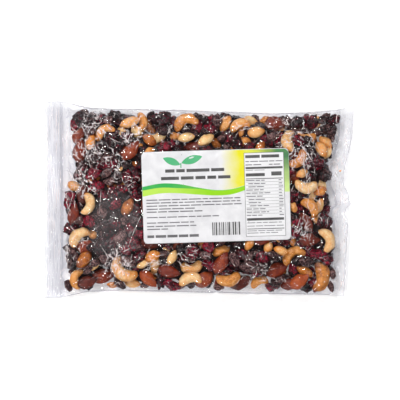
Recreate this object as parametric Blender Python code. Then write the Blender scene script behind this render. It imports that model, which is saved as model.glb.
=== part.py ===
"""A clear sealed bag of trail mix that lies flat, with its label.

The bag is a pillow of film, filled with cashews, almonds, peanuts, raisins and dried cranberries and
crimped shut at its two ends. Its solid is the film's own form with the nuts and fruit standing out of it.
The label is a sticker on its upper side.

Metres, +Z up. +X runs along the bag from its left seal to its right one, as the label is read, and +Y
towards the label's top edge. The origin is on the floor, under the middle of the bag.
"""

import math
import random

import bmesh
import bpy
from mathutils import Matrix, Vector
from mathutils.bvhtree import BVHTree

MM = 0.001

# Driving sizes of the bag
LENGTH = 285 * MM
LEFT_SEAL = 14 * MM
RIGHT_SEAL = 12 * MM
FILM_EDGE = 0.9 * MM  # both films and the crimp's depth, at a seal or a folded side
SEAL_HEIGHT = 8 * MM  # of the seals above the floor
SEAL_WAVE = 1.2 * MM  # how far a seal waves up and down
SEAL_WAVE_RADIAN = 31 * MM  # length of one radian of that wave
SEAL_WAVE_START = 0.6
BELLY_HEIGHT = 11.5 * MM  # of the widest level, where the bag is full
RISE = 13.6 * MM  # from that level to the top of the film
DROP = 12.8 * MM  # and down, more than there is room for, so that the underside lies flat
ALONG_POWER = 5.0  # how square the fullness is along the bag
ACROSS_POWER = 4.5  # and across it
LENGTHWISE_FOLD = 0.8 * MM  # height of the folds that fan out from each seal
FOLD_SPACING = 27 * MM

# The bag's two long edges seen from above, as (x, y) in mm: wide and flat at the seals, drawn in by its fill
HIGH_EDGE = [(-142.5, 90.5), (-128, 90.5), (-97, 84.5), (0, 81.8), (70, 79.2), (124, 82.5), (142.5, 86.5)]
LOW_EDGE = [(-142.5, -90.8), (-130, -90.8), (-95, -84.3), (0, -85.2), (124, -88), (142.5, -89.4)]

# The right seal is cut a little slanting, and is dented above its middle
RIGHT_SLANT = 0.05
RIGHT_SHORT = 4.4 * MM
DENT = 4.4 * MM
DENT_Y = 24 * MM
DENT_WIDTH = 14 * MM
EDGE_REACH = 34 * MM  # how far into the bag that uneven edge is felt

# Crimps: ridges along each seal
CRIMP_PITCH = 2.4 * MM
CRIMP_DEPTH = 0.3 * MM

# Facets
ROWS = 28  # along the filled part
COLUMNS = 20  # across the bag
FLAT_ENOUGH = math.radians(2)  # neighbouring facets that differ by less are merged
FLAT_ON_FLOOR = math.radians(0.2)  # the same for the underside, before the food is joined to it
SHARP_EDGE = math.radians(35)
SLOPE_STEP = 1.5 * MM  # over which the film's slope is measured

# The label
LABEL_SIZE = (135 * MM, 84 * MM)
LABEL_CENTRE = (15.3 * MM, 3.4 * MM)
LABEL_TURN = math.radians(1.7)
LABEL_CORNER = 4 * MM
LABEL_THICKNESS = 0.3 * MM
LABEL_GAP = 0.5 * MM
LABEL_STEPS = (20, 14)

# Food that shows: it stands out of the film by this, and the label's bed is raised to the same level
STAND_OUT = 2.3 * MM
SIDE_SINK = 3.2 * MM  # on the bag's sides it lies deeper, inside the film's edge
STEEP = 0.87  # where the film's normal rises less than this, only the smaller kinds lie
SMALLER_REACH = 7 * MM
BED_FADE = 7 * MM
FOOD_LEFT = -119 * MM
FOOD_RIGHT = 126 * MM
FOOD_ACROSS = 0.97  # share of the bag's half width
FOOD_SEED = 11
FOOD_TRIES = 9000
FOOD_TILT = math.radians(12)
FOOD_SIZES = (0.88, 1.1)  # smallest and largest, as a share of the kind's size
ON_UPPER_FILM = 0.85  # share of the tries, as little shows below
CLOSENESS = 0.86  # of two neighbours, as a share of their reaches
OFF_LABEL = 1.15  # reaches between a piece and the label
OFF_FLOOR = 0.8  # reaches between a lower piece and the floor
CLEAR_OF_FLOOR = 0.4 * MM

# Each food: length, width and thickness in mm, its radius as a neighbour, how many, rings and sides
ALMOND = dict(size=(22.5, 12.6, 8.0), reach=8.2, count=20, rings=5, sides=6, colour=(0.23, 0.045, 0.018))
CASHEW = dict(size=(24, 9.4, 8.6), reach=9.0, count=24, rings=6, sides=6, colour=(0.62, 0.30, 0.11))
PEANUT = dict(size=(15.5, 9.2, 8.2), reach=6.0, count=38, rings=4, sides=6, colour=(0.58, 0.29, 0.10))
CRANBERRY = dict(size=(14, 10.5, 5.6), reach=5.9, count=56, rings=4, sides=5, colour=(0.10, 0.006, 0.012))
RAISIN = dict(size=(12.5, 8.2, 6.0), reach=5.4, count=56, rings=4, sides=5, colour=(0.045, 0.018, 0.018))
CASHEW_BEND = math.radians(88)  # half of the arc that a cashew follows
CASHEW_RADIUS = 1 / 3  # of that arc, as a share of its length
CASHEW_CENTRE = 0.45  # where its middle lies, as a share of that radius

FILM_COLOUR = (0.12, 0.055, 0.045)
LABEL_COLOUR = (0.80, 0.80, 0.81)

HALF_LENGTH = LENGTH / 2
INNER_LEFT = -HALF_LENGTH + LEFT_SEAL
INNER_RIGHT = HALF_LENGTH - RIGHT_SEAL


def clear_scene():
    for thing in list(bpy.data.objects):
        bpy.data.objects.remove(thing)


def material(name, colour, roughness):
    made = bpy.data.materials.new(name)
    made.use_nodes = True
    surface = made.node_tree.nodes["Principled BSDF"]
    surface.inputs["Base Color"].default_value = (*colour, 1)
    surface.inputs["Roughness"].default_value = roughness
    surface.inputs["Metallic"].default_value = 0
    return made


def smooth_step(low, high, value):
    t = min(1, max(0, (value - low) / (high - low)))
    return t * t * (3 - 2 * t)


def curve_through(points, x):
    """The height at x, in metres, of a smooth curve through points given in mm."""
    at = x / MM
    last = len(points) - 1
    i = 0
    while i < last - 1 and points[i + 1][0] < at:
        i += 1
    slopes = []
    for k in (i, i + 1):
        before, after = points[max(k - 1, 0)], points[min(k + 1, last)]
        slopes.append((after[1] - before[1]) / (after[0] - before[0]))
    (x0, y0), (x1, y1) = points[i], points[i + 1]
    span = x1 - x0
    t = min(1, max(0, (at - x0) / span))
    rest = 1 - t
    y = (y0 * (1 + 2 * t) * rest**2 + slopes[0] * span * t * rest**2
         + y1 * (3 - 2 * t) * t**2 - slopes[1] * span * t**2 * rest)
    return y * MM


def swell(x):
    """How full the bag is at x: 0 in the seals and nearly 1 over most of its length."""
    middle = (INNER_LEFT + INNER_RIGHT) / 2
    share = min(1, abs(x - middle) / ((INNER_RIGHT - INNER_LEFT) / 2))
    return math.sqrt(1 - share**ALONG_POWER)


def arch(x, y):
    """The same across the bag: 1 on its middle line and 0 at its two long edges."""
    high, low = curve_through(HIGH_EDGE, x), curve_through(LOW_EDGE, x)
    share = min(1, abs(y - (high + low) / 2) / ((high - low) / 2))
    return math.sqrt(1 - share**ACROSS_POWER)


def widest_level(x, y):
    """The height of the line where the upper and the lower film meet. The seals wave a little."""
    wave = SEAL_WAVE * math.sin(y / SEAL_WAVE_RADIAN + SEAL_WAVE_START) * (1 - swell(x))
    return SEAL_HEIGHT + (BELLY_HEIGHT - SEAL_HEIGHT) * swell(x) + wave


def fanned_fold(x, y):
    """Folds along the bag where the film is drawn together, strongest just inside each seal."""
    full = swell(x)
    return LENGTHWISE_FOLD * 4 * full * (1 - full) * math.cos(2 * math.pi * y / FOLD_SPACING)


def label_place(x, y):
    """(x, y) in the label's own frame, from its centre."""
    dx, dy = x - LABEL_CENTRE[0], y - LABEL_CENTRE[1]
    c, s = math.cos(LABEL_TURN), math.sin(LABEL_TURN)
    return dx * c + dy * s, dy * c - dx * s


def outside_label(x, y):
    """How far (x, y) lies outside the label's edge, and 0 on it."""
    u, v = label_place(x, y)
    return math.hypot(max(0, abs(u) - LABEL_SIZE[0] / 2), max(0, abs(v) - LABEL_SIZE[1] / 2))


def upper_film(x, y):
    """The top of the film without the food. Under the label it is raised to the level of the food's tops."""
    bed = STAND_OUT * (1 - smooth_step(1 * MM, BED_FADE, outside_label(x, y)))
    full = swell(x) * arch(x, y)
    return widest_level(x, y) + FILM_EDGE / 2 + (RISE + fanned_fold(x, y)) * full + bed


def lower_film(x, y):
    return max(0, widest_level(x, y) - FILM_EDGE / 2 - DROP * swell(x) * arch(x, y))


def right_end_shift(x, y):
    """How far the uneven right edge moves a point of the bag along X."""
    cut = -RIGHT_SHORT + RIGHT_SLANT * y - DENT * math.exp(-(((y - DENT_Y) / DENT_WIDTH) ** 2))
    return cut * smooth_step(HALF_LENGTH - EDGE_REACH, HALF_LENGTH - RIGHT_SEAL, x)


def row_stations():
    """(x, crimp) of each row of the bag's grid: crimp is the rise or fall of its ridge."""
    rows = []
    for start, end in ((-HALF_LENGTH, INNER_LEFT), (INNER_RIGHT, HALF_LENGTH)):
        count = round((end - start) / (CRIMP_PITCH / 2))
        ridge = [(start + (end - start) * k / count, CRIMP_DEPTH * (-1) ** k) for k in range(count + 1)]
        rows += ridge
    for k in range(1, ROWS):
        turned = -math.cos(math.pi * k / ROWS)
        even = -1 + 2 * k / ROWS
        t = 0.5 + 0.25 * (turned + even)  # closer towards the seals, where the film curves most
        rows.append((INNER_LEFT + (INNER_RIGHT - INNER_LEFT) * t, 0))
    return sorted(rows)


def bag_film():
    """The film as one closed solid: an upper and a lower grid, sewn together round their edge."""
    made = bmesh.new()
    grids = []
    for level, turn in ((upper_film, 1), (lower_film, -1)):
        grid = []
        for x, crimp in row_stations():
            high, low = curve_through(HIGH_EDGE, x), curve_through(LOW_EDGE, x)
            line = []
            for k in range(COLUMNS + 1):
                t = -1 + 2 * k / COLUMNS
                across = 0.5 * t + 0.5 * math.sin(t * math.pi / 2)
                y = (high + low) / 2 + across * (high - low) / 2
                place = (x + right_end_shift(x, y), y, level(x, y) + crimp)
                line.append(made.verts.new(place))
            grid.append(line)
        for a, b in zip(grid, grid[1:]):
            for k in range(COLUMNS):
                face = (a[k], b[k], b[k + 1], a[k + 1])
                made.faces.new(face[::turn])
        grids.append(grid)
    rims = []
    for grid in grids:
        rim = grid[0][:-1] + [row[-1] for row in grid[:-1]] + grid[-1][:0:-1] + [row[0] for row in grid[:0:-1]]
        rims.append(rim)
    upper, lower = rims
    for k in range(len(upper)):
        made.faces.new((upper[k - 1], upper[k], lower[k], lower[k - 1]))
    bmesh.ops.recalc_face_normals(made, faces=made.faces)
    flat = [e for e in made.edges if all(v.co.z == 0 for v in e.verts)]
    bmesh.ops.dissolve_limit(made, angle_limit=FLAT_ON_FLOOR, edges=flat, verts=[])
    bmesh.ops.triangulate(made, faces=[f for f in made.faces if len(f.verts) == 4])
    return made


def straight_spine(t, length):
    return Vector((length * (t - 0.5), 0, 0)), Vector((0, 1, 0))


def bent_spine(t, length):
    """A cashew's arc, and the direction across it."""
    angle = CASHEW_BEND * (2 * t - 1)
    radius = length * CASHEW_RADIUS
    centre = Vector((radius * math.sin(angle), radius * (math.cos(angle) - CASHEW_CENTRE), 0))
    return centre, Vector((math.sin(angle), math.cos(angle), 0))


def almond_girth(t, turn):
    return math.sin(math.pi * t**0.8) ** 0.75


def cashew_girth(t, turn):
    return (1 - abs(2 * t - 1) ** 2.4) ** 0.5 * (1.1 - 0.25 * t)


def peanut_girth(t, turn):
    return math.sin(math.pi * t) ** 0.55


def wrinkled_girth(t, turn):
    """Dried fruit: round, with folds along it."""
    return math.sin(math.pi * t) ** 0.6 * (1 + 0.14 * math.cos(3 * turn + 2 * t))


def food_body(kind, spine, girth):
    """One nut or berry as a closed mesh, lying flat with its length along X."""
    length, width, thickness = (size * MM for size in kind["size"])
    rings, sides = kind["rings"], kind["sides"]
    made = bmesh.new()
    tips = [made.verts.new(spine(t, length)[0]) for t in (0, 1)]
    loops = []
    for k in range(1, rings):
        t = k / rings
        centre, across = spine(t, length)
        ring = []
        for j in range(sides):
            turn = 2 * math.pi * j / sides
            swing = across * (math.cos(turn) * width / 2) + Vector((0, 0, math.sin(turn) * thickness / 2))
            ring.append(made.verts.new(centre + swing * girth(t, turn)))
        loops.append(ring)
    for j in range(sides):
        after = (j + 1) % sides
        made.faces.new((tips[0], loops[0][j], loops[0][after]))
        for a, b in zip(loops, loops[1:]):
            made.faces.new((a[j], b[j], b[after], a[after]))
        made.faces.new((tips[1], loops[-1][after], loops[-1][j]))
    bmesh.ops.recalc_face_normals(made, faces=made.faces)
    return made


def mesh_of(made, name, finish):
    data = bpy.data.meshes.new(name)
    made.to_mesh(data)
    made.free()
    data.materials.append(finish)
    return data


def film_side(x, across, upper):
    """A point on the filled film and its outward normal. across runs from -1 to 1 over the bag's width."""
    high, low = curve_through(HIGH_EDGE, x), curve_through(LOW_EDGE, x)
    y = (high + low) / 2 + math.sin(across * math.pi / 2) * (high - low) / 2 * FOOD_ACROSS
    level = upper_film if upper else lower_film
    slope_x = (level(x + SLOPE_STEP, y) - level(x - SLOPE_STEP, y)) / (2 * SLOPE_STEP)
    slope_y = (level(x, y + SLOPE_STEP) - level(x, y - SLOPE_STEP)) / (2 * SLOPE_STEP)
    normal = Vector((-slope_x, -slope_y, 1)).normalized()
    if not upper:
        normal.negate()
    return Vector((x + right_end_shift(x, y), y, level(x, y))), normal


def food_places(kinds):
    """Spreads the foods over the film, the largest first, each clear of the ones before it."""
    draw = random.Random(FOOD_SEED)
    placed = []
    for name, kind in kinds:
        wanted = kind["count"]
        for _ in range(FOOD_TRIES):
            if wanted == 0:
                break
            x = draw.uniform(FOOD_LEFT, FOOD_RIGHT)
            upper = draw.random() < ON_UPPER_FILM
            point, normal = film_side(x, draw.uniform(-1, 1), upper)
            yaw = draw.uniform(0, 2 * math.pi)
            tilt = draw.uniform(-1, 1) * FOOD_TILT
            size = draw.uniform(*FOOD_SIZES)
            reach = kind["reach"] * MM * size
            thickness = kind["size"][2] * MM * size
            stand_out = STAND_OUT - SIDE_SINK * (1 - abs(normal.z))
            centre = point + normal * (stand_out - thickness / 2)
            if reach > SMALLER_REACH and abs(normal.z) < STEEP:
                continue
            if outside_label(x, point.y) < reach * OFF_LABEL and upper:
                continue
            if not upper and centre.z < reach * OFF_FLOOR + CLEAR_OF_FLOOR:
                continue
            if any((centre - other).length < CLOSENESS * (reach + theirs) for _, _, other, theirs in placed):
                continue
            turn = normal.to_track_quat("Z", "Y").to_matrix().to_4x4()
            place = Matrix.Translation(centre) @ turn @ Matrix.Rotation(yaw, 4, "Z") @ Matrix.Rotation(tilt, 4, "X")
            placed.append((name, place @ Matrix.Scale(size, 4), centre, reach))
            wanted -= 1
    return placed


def scene_object(name, data, place=Matrix.Identity(4), collection=None):
    made = bpy.data.objects.new(name, data)
    made.matrix_world = place
    (collection or bpy.context.scene.collection).objects.link(made)
    return made


def keep_largest_island(data):
    """Drops any scrap that the union left loose."""
    made = bmesh.new()
    made.from_mesh(data)
    islands, seen = [], set()
    for start in made.verts:
        if start in seen:
            continue
        island, queue = [], [start]
        seen.add(start)
        while queue:
            vert = queue.pop()
            island.append(vert)
            for edge in vert.link_edges:
                other = edge.other_vert(vert)
                if other not in seen:
                    seen.add(other)
                    queue.append(other)
        islands.append(island)
    islands.sort(key=len)
    for island in islands[:-1]:
        bmesh.ops.delete(made, geom=island, context="VERTS")
    made.to_mesh(data)
    made.free()


def merge_flat_facets(thing):
    """Merges the film's facets that the union left cut up."""
    merge = thing.modifiers.new("flat facets merged", "DECIMATE")
    merge.decimate_type = "DISSOLVE"
    merge.angle_limit = FLAT_ENOUGH
    merge.use_dissolve_boundaries = True
    bpy.context.view_layer.update()
    merged = bpy.data.meshes.new_from_object(thing.evaluated_get(bpy.context.evaluated_depsgraph_get()))
    thing.modifiers.clear()
    thing.data = merged


def build_bag():
    """The film and the food that shows, joined into one solid."""
    bag = scene_object("bag", mesh_of(bag_film(), "bag", material("clear film over food", FILM_COLOUR, 0.3)))
    shapes = [
        ("cashew", CASHEW, bent_spine, cashew_girth, 0.45),
        ("almond", ALMOND, straight_spine, almond_girth, 0.5),
        ("peanut", PEANUT, straight_spine, peanut_girth, 0.45),
        ("cranberry", CRANBERRY, straight_spine, wrinkled_girth, 0.35),
        ("raisin", RAISIN, straight_spine, wrinkled_girth, 0.6),
    ]
    meshes = {}
    for name, kind, spine, girth, roughness in shapes:
        body = food_body(kind, spine, girth)
        meshes[name] = mesh_of(body, name, material(name, kind["colour"], roughness))
    food = bpy.data.collections.new("food")
    bpy.context.scene.collection.children.link(food)
    for name, place, _, _ in food_places([(shape[0], shape[1]) for shape in shapes]):
        scene_object(name, meshes[name], place, food)
    join = bag.modifiers.new("food fused to the film", "BOOLEAN")
    join.operation = "UNION"
    join.operand_type = "COLLECTION"
    join.collection = food
    join.solver = "EXACT"
    join.material_mode = "TRANSFER"
    bpy.context.view_layer.update()
    joined = bpy.data.meshes.new_from_object(bag.evaluated_get(bpy.context.evaluated_depsgraph_get()))
    bag.modifiers.clear()
    bag.data = joined
    for thing in list(food.objects):
        bpy.data.objects.remove(thing)
    bpy.data.collections.remove(food)
    keep_largest_island(bag.data)
    merge_flat_facets(bag)
    bag.data.shade_smooth()
    bag.data.set_sharp_from_angle(angle=SHARP_EDGE)
    return bag


def label_outline_share(u, v):
    """Moves a point of the label's square grid so that its corners come out round."""
    half_u, half_v = LABEL_SIZE[0] / 2, LABEL_SIZE[1] / 2
    over_u, over_v = abs(u) - (half_u - LABEL_CORNER), abs(v) - (half_v - LABEL_CORNER)
    if over_u > 0 and over_v > 0:
        length, longest = math.hypot(over_u, over_v), max(over_u, over_v)
        over_u, over_v = over_u * longest / length, over_v * longest / length
        u = math.copysign(half_u - LABEL_CORNER + over_u, u)
        v = math.copysign(half_v - LABEL_CORNER + over_v, v)
    return u, v


def label_grid_lines(size, steps):
    """Even places along one side of the label, with an extra few in the corners' stretch."""
    straight = size - 2 * LABEL_CORNER
    inside = [-straight / 2 + straight * k / (steps - 4) for k in range(steps - 3)]
    corner = [LABEL_CORNER * 0.5, LABEL_CORNER]
    return [-straight / 2 - c for c in reversed(corner)] + inside + [straight / 2 + c for c in corner]


def build_label(bag):
    """The sticker: a thin sheet that follows the film under it, a gap away."""
    under = BVHTree.FromObject(bag, bpy.context.evaluated_depsgraph_get())
    made = bmesh.new()
    c, s = math.cos(LABEL_TURN), math.sin(LABEL_TURN)
    grid = []
    for line_v in label_grid_lines(LABEL_SIZE[1], LABEL_STEPS[1]):
        row = []
        for line_u in label_grid_lines(LABEL_SIZE[0], LABEL_STEPS[0]):
            u, v = label_outline_share(line_u, line_v)
            x, y = LABEL_CENTRE[0] + u * c - v * s, LABEL_CENTRE[1] + u * s + v * c
            hit, *_ = under.ray_cast(Vector((x, y, LENGTH)), Vector((0, 0, -1)))
            row.append(made.verts.new((x, y, hit.z + LABEL_GAP)))
        grid.append(row)
    for a, b in zip(grid, grid[1:]):
        for k in range(len(a) - 1):
            made.faces.new((a[k], a[k + 1], b[k + 1], b[k]))
    sheet = list(made.faces)
    raised = bmesh.ops.extrude_face_region(made, geom=sheet)
    for piece in raised["geom"]:
        if isinstance(piece, bmesh.types.BMVert):
            piece.co.z += LABEL_THICKNESS
    bmesh.ops.reverse_faces(made, faces=sheet)
    bmesh.ops.recalc_face_normals(made, faces=made.faces)
    data = mesh_of(made, "label", material("paper label", LABEL_COLOUR, 0.35))
    data.shade_smooth()
    data.set_sharp_from_angle(angle=SHARP_EDGE)
    return scene_object("label", data)


clear_scene()
the_bag = build_bag()
build_label(the_bag)
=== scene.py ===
# %% [markdown]
# # A clear bag of trail mix
# The real object is a pillow bag: a tube of clear film, filled with nuts and dried fruit and welded shut
# at its two ends, with a paper sticker on top. The CAD model of it is one closed solid and a plain label.
# This lesson dresses that frame. It packs nuts and fruit into the bag's form, drapes a film over them,
# and prints the label. Everything is in metres, and the origin is on the floor under the bag.

# %% Load the frame
import math

import bpy
import numpy as np
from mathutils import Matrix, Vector


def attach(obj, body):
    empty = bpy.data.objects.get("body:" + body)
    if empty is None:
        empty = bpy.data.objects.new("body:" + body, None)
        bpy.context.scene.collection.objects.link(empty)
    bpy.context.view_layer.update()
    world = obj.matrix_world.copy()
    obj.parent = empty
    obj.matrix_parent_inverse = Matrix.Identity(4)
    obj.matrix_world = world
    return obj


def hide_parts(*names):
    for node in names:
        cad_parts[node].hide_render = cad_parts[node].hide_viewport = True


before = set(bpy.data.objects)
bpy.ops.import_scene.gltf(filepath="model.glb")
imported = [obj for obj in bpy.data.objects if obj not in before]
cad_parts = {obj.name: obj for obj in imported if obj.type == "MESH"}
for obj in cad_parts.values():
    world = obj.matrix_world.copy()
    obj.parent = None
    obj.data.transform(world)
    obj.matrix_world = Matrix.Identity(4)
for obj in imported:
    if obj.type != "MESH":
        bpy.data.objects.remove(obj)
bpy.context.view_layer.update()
MM = 0.001

# %% [markdown]
# ## The bag's outline and fullness
# Seen from above a pillow bag is wide and flat at its welded ends and drawn in where it is full, because
# the same width of film also has to go round the filling. A few points and a smooth curve give each long
# edge. Two power curves say how full the bag is along and across: a high power is a squarish pillow.

# %% Outline and fullness
HALF_LENGTH = 142.5 * MM
LEFT_SEAL = 14 * MM
RIGHT_SEAL = 12 * MM
INNER_LEFT = -HALF_LENGTH + LEFT_SEAL
INNER_RIGHT = HALF_LENGTH - RIGHT_SEAL
HIGH_EDGE = [(-142.5, 90.5), (-128, 90.5), (-97, 84.5), (0, 81.8), (70, 79.2), (124, 82.5), (142.5, 86.5)]
LOW_EDGE = [(-142.5, -90.8), (-130, -90.8), (-95, -84.3), (0, -85.2), (124, -88), (142.5, -89.4)]
SEAL_HEIGHT = 8 * MM
SEAL_WAVE = 1.2 * MM  # how far the seals wave up and down
WAVE_LENGTH = 31 * MM  # of that wave, over two pi
BELLY_HEIGHT = 11.5 * MM  # of the widest level, where the bag is full
RISE = 15.9 * MM  # from there to the top of the film
DROP = 14 * MM  # and down, more than there is room for, so that the underside lies flat
FILM_LOW = 0.35 * MM  # the lowest film, above the floor
SWELL_POWER = 5
ARCH_POWER = 4.5


def smooth_step(low, high, value):
    """0 below the low value and 1 above the high one, with a soft start and end."""
    t = np.clip((value - low) / (high - low), 0, 1)
    return t * t * (3 - 2 * t)


def curve_through(points, at):
    """Heights of a smooth curve through (x, y) points in mm, at places in metres."""
    x, y = np.array(points, float).T * MM
    after = np.minimum(np.arange(len(x)) + 1, len(x) - 1)
    before = np.maximum(np.arange(len(x)) - 1, 0)
    slope = (y[after] - y[before]) / (x[after] - x[before])
    i = np.clip(np.searchsorted(x, at) - 1, 0, len(x) - 2)
    span = x[i + 1] - x[i]
    t = np.clip((at - x[i]) / span, 0, 1)
    rest = 1 - t
    ends = y[i] * (1 + 2 * t) * rest**2 + y[i + 1] * (3 - 2 * t) * t**2
    return ends + span * (slope[i] * t * rest**2 - slope[i + 1] * t**2 * rest)


def swell(x):
    """How full the bag is at x: 0 in the seals and 1 in the middle."""
    middle, half = (INNER_LEFT + INNER_RIGHT) / 2, (INNER_RIGHT - INNER_LEFT) / 2
    return np.sqrt(1 - np.minimum(1, np.abs(x - middle) / half) ** SWELL_POWER)


def arch(x, y):
    """The same across the bag: 0 at its two long edges."""
    high, low = curve_through(HIGH_EDGE, x), curve_through(LOW_EDGE, x)
    share = np.minimum(1, np.abs(y - (high + low) / 2) / ((high - low) / 2))
    return np.sqrt(1 - share**ARCH_POWER)


def inside_edges(x, y):
    """How far a place lies inside the two long edges, or below 0 outside them."""
    return np.minimum(curve_through(HIGH_EDGE, x) - y, y - curve_through(LOW_EDGE, x))


def widest_level(x, y):
    """Height of the line where the upper and the lower film meet."""
    wave = SEAL_WAVE * np.sin(y / WAVE_LENGTH + 0.6) * (1 - swell(x))
    return SEAL_HEIGHT + (BELLY_HEIGHT - SEAL_HEIGHT) * swell(x) + wave


def upper_form(x, y):
    return widest_level(x, y) + RISE * swell(x) * arch(x, y)


def lower_form(x, y):
    return np.maximum(FILM_LOW, widest_level(x, y) - DROP * swell(x) * arch(x, y))


print("fullest height in mm:", round(float(upper_form(0.0, 0.0)) / MM, 1))

# %% [markdown]
# ## Shapes of the nuts and fruit
# Each kernel or berry is a closed skin of rings round a spine. A cashew's spine is an arc, the others' are
# straight. Dried fruit gets its folds from a few crossing waves, turned into ridges, which is what skin
# does when the flesh under it shrinks. Each kind has nine shapes, so that neighbours seldom look alike.
# Every shape also keeps a few ellipsoids that stand for it while the bag is being packed.

# %% A skin of rings
SHAPES_PER_KIND = 9
draw = np.random.default_rng(20)


def ring_skin(rings, sides):
    """Triangles and their corners' (along, around) for rings of points between two poles."""
    triangles, corners = [], []
    last = 1 + (rings - 1) * sides
    for j in range(sides):
        around = (j / sides, (j + 1) / sides)
        first = 1 + (j + 1) % sides
        triangles.append((0, first, 1 + j))
        corners.append(((0, around[0]), (1 / rings, around[1]), (1 / rings, around[0])))
        for k in range(rings - 2):
            a, b = 1 + k * sides + j, first + k * sides
            low, high = (k + 1) / rings, (k + 2) / rings
            triangles += [(a, b, b + sides), (a, b + sides, a + sides)]
            corners.append(((low, around[0]), (low, around[1]), (high, around[1])))
            corners.append(((low, around[0]), (high, around[1]), (high, around[0])))
        end = (rings - 2) * sides
        triangles.append((last, 1 + end + j, first + end))
        corners.append(((1, around[0]), (1 - 1 / rings, around[0]), (1 - 1 / rings, around[1])))
    return np.array(triangles), np.array(corners)


def ring_places(rings, sides):
    """(along, turn) of every point of such a skin, closer together towards the poles."""
    along = 0.5 - 0.5 * np.cos(np.pi * np.arange(1, rings) / rings)
    turn = 2 * np.pi * np.arange(sides) / sides
    t, a = (grid.ravel() for grid in np.meshgrid(along, turn, indexing="ij"))
    return np.concatenate([[0], t, [1]]), np.concatenate([[0], a, [0]])


def waves(points, length, count):
    """A smooth random field of waves about this long, from -1 to 1. Points and length are in mm."""
    total = np.zeros(len(points))
    for _ in range(count):
        direction = draw.normal(size=3)
        direction *= 2 * np.pi / length / np.linalg.norm(direction) * draw.uniform(0.7, 1.3)
        total += np.cos(points @ direction + draw.uniform(0, 6.3))
    return total / count


def ridges(points, length):
    """Sharp ridges about this far apart, from -1 to 1."""
    return 1 - 2 * np.abs(waves(points, length, 3))


# %% [markdown]
# A cashew bends over about half a circle and is thicker at one end. About one in three has split into its
# two halves, which leaves a flat face. An almond is a flat drop with a pointed end. Peanuts are blanched
# and show a seam, and most have split. Cranberries dry to crumpled flat discs, and raisins to small logs
# with deep lengthwise folds. A few slow waves keep every piece from being a perfect solid of revolution.

# %% The bent kernel
CASHEW_ARC = 9.2  # mm, radius of a cashew's spine
CASHEW_SHIFT = 4.5  # mm, from the arc's middle back to the kernel's own
CASHEW_HALF = (4.7, 4.3)  # mm, half of its width and of its thickness
CASHEWS_SPLIT = 0.35


def cashew_girth(t):
    return np.sqrt(1 - np.abs(2 * t - 1) ** 2.6) * (1.14 - 0.3 * t)


def cashew(t, turn):
    """Points in mm on a cashew's skin, and the ellipsoids that stand for it."""
    bend = math.radians(draw.uniform(70, 94))
    angle = bend * (2 * t - 1)
    girth = cashew_girth(t)
    reach = CASHEW_HALF[0] * girth * (1 + 0.07 * np.cos(2 * turn) * np.sin(np.pi * t))
    radial = CASHEW_ARC + reach * np.cos(turn)
    lift = draw.uniform(-1.2, 1.2) * (2 * t - 1) ** 2
    upward = CASHEW_HALF[1] * girth * np.sin(turn) + lift
    points = np.stack([radial * np.sin(angle), radial * np.cos(angle) - CASHEW_SHIFT, upward], 1)
    points += 0.5 * waves(points, 8, 4)[:, None] + 0.2 * waves(points, 3.5, 4)[:, None]
    if draw.random() < CASHEWS_SPLIT:
        points[:, 2] = np.maximum(points[:, 2], -0.6 + 0.25 * waves(points, 9, 3))
    parts = []
    for s in (0.12, 0.31, 0.5, 0.69, 0.88):
        bent = bend * (2 * s - 1)
        size = CASHEW_HALF[0] * float(cashew_girth(s))
        centre = (CASHEW_ARC * math.sin(bent), CASHEW_ARC * math.cos(bent) - CASHEW_SHIFT, 0)
        parts.append((centre, (size + 0.4, size + 0.4, size * 0.93)))
    return points, parts


# %% Four straight kinds
ALMOND = np.array([22.5, 12.8, 8.0])  # mm: length, width and thickness
PEANUT = np.array([15.0, 9.2, 8.6])
CRANBERRY = np.array([14.5, 10.5, 5.6])
RAISIN = np.array([13.0, 8.4, 6.4])
PEANUTS_SPLIT = 0.6


def straight(t, turn, size, girth):
    """Points round a straight spine, for a piece of this length, width and thickness in mm."""
    length, width, thickness = size
    across, upward = width / 2 * girth * np.cos(turn), thickness / 2 * girth * np.sin(turn)
    return np.stack([length * (t - 0.5), across, upward], 1)


def almond(t, turn):
    size = ALMOND * draw.uniform([0.92, 0.92, 0.85], [1.08, 1.06, 1.1])
    girth = np.sin(np.pi * t**0.8) ** 0.75
    points = straight(t, turn, size, girth)
    groove = np.cos(9 * turn + 3 * waves(points * [0.3, 1, 1], 7, 3))
    points[:, 1:] *= (1 + 0.045 * groove)[:, None]
    points += 0.5 * waves(points, 9, 4)[:, None]
    points[:, 2] += 0.9 * waves(points * [1, 0.4, 0], 26, 2)
    return points, [((0, 0, 0), size / 2)]


def peanut(t, turn):
    size = PEANUT * draw.uniform([0.85, 0.9, 0.9], [1.12, 1.08, 1.08])
    points = straight(t, turn, size, np.sin(np.pi * t**0.92) ** 0.6)
    seam = np.exp(-((np.sin(turn) / 0.25) ** 2))
    points[:, 1:] *= (1 - 0.09 * seam)[:, None]
    points += 0.5 * waves(points, 7, 4)[:, None] + 0.2 * waves(points, 3.2, 4)[:, None]
    if draw.random() < PEANUTS_SPLIT:
        groove = 0.5 * np.exp(-((points[:, 1] / 0.9) ** 2)) * (np.abs(points[:, 0]) < 5)
        cut = -0.3 + groove + 0.12 * waves(points, 5, 3)
        points[:, 2] = np.maximum(points[:, 2], cut)
        return points, [((0, 0, size[2] * 0.2), (size[0] / 2, size[1] / 2, size[2] * 0.31))]
    return points, [((0, 0, 0), size / 2)]


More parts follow.
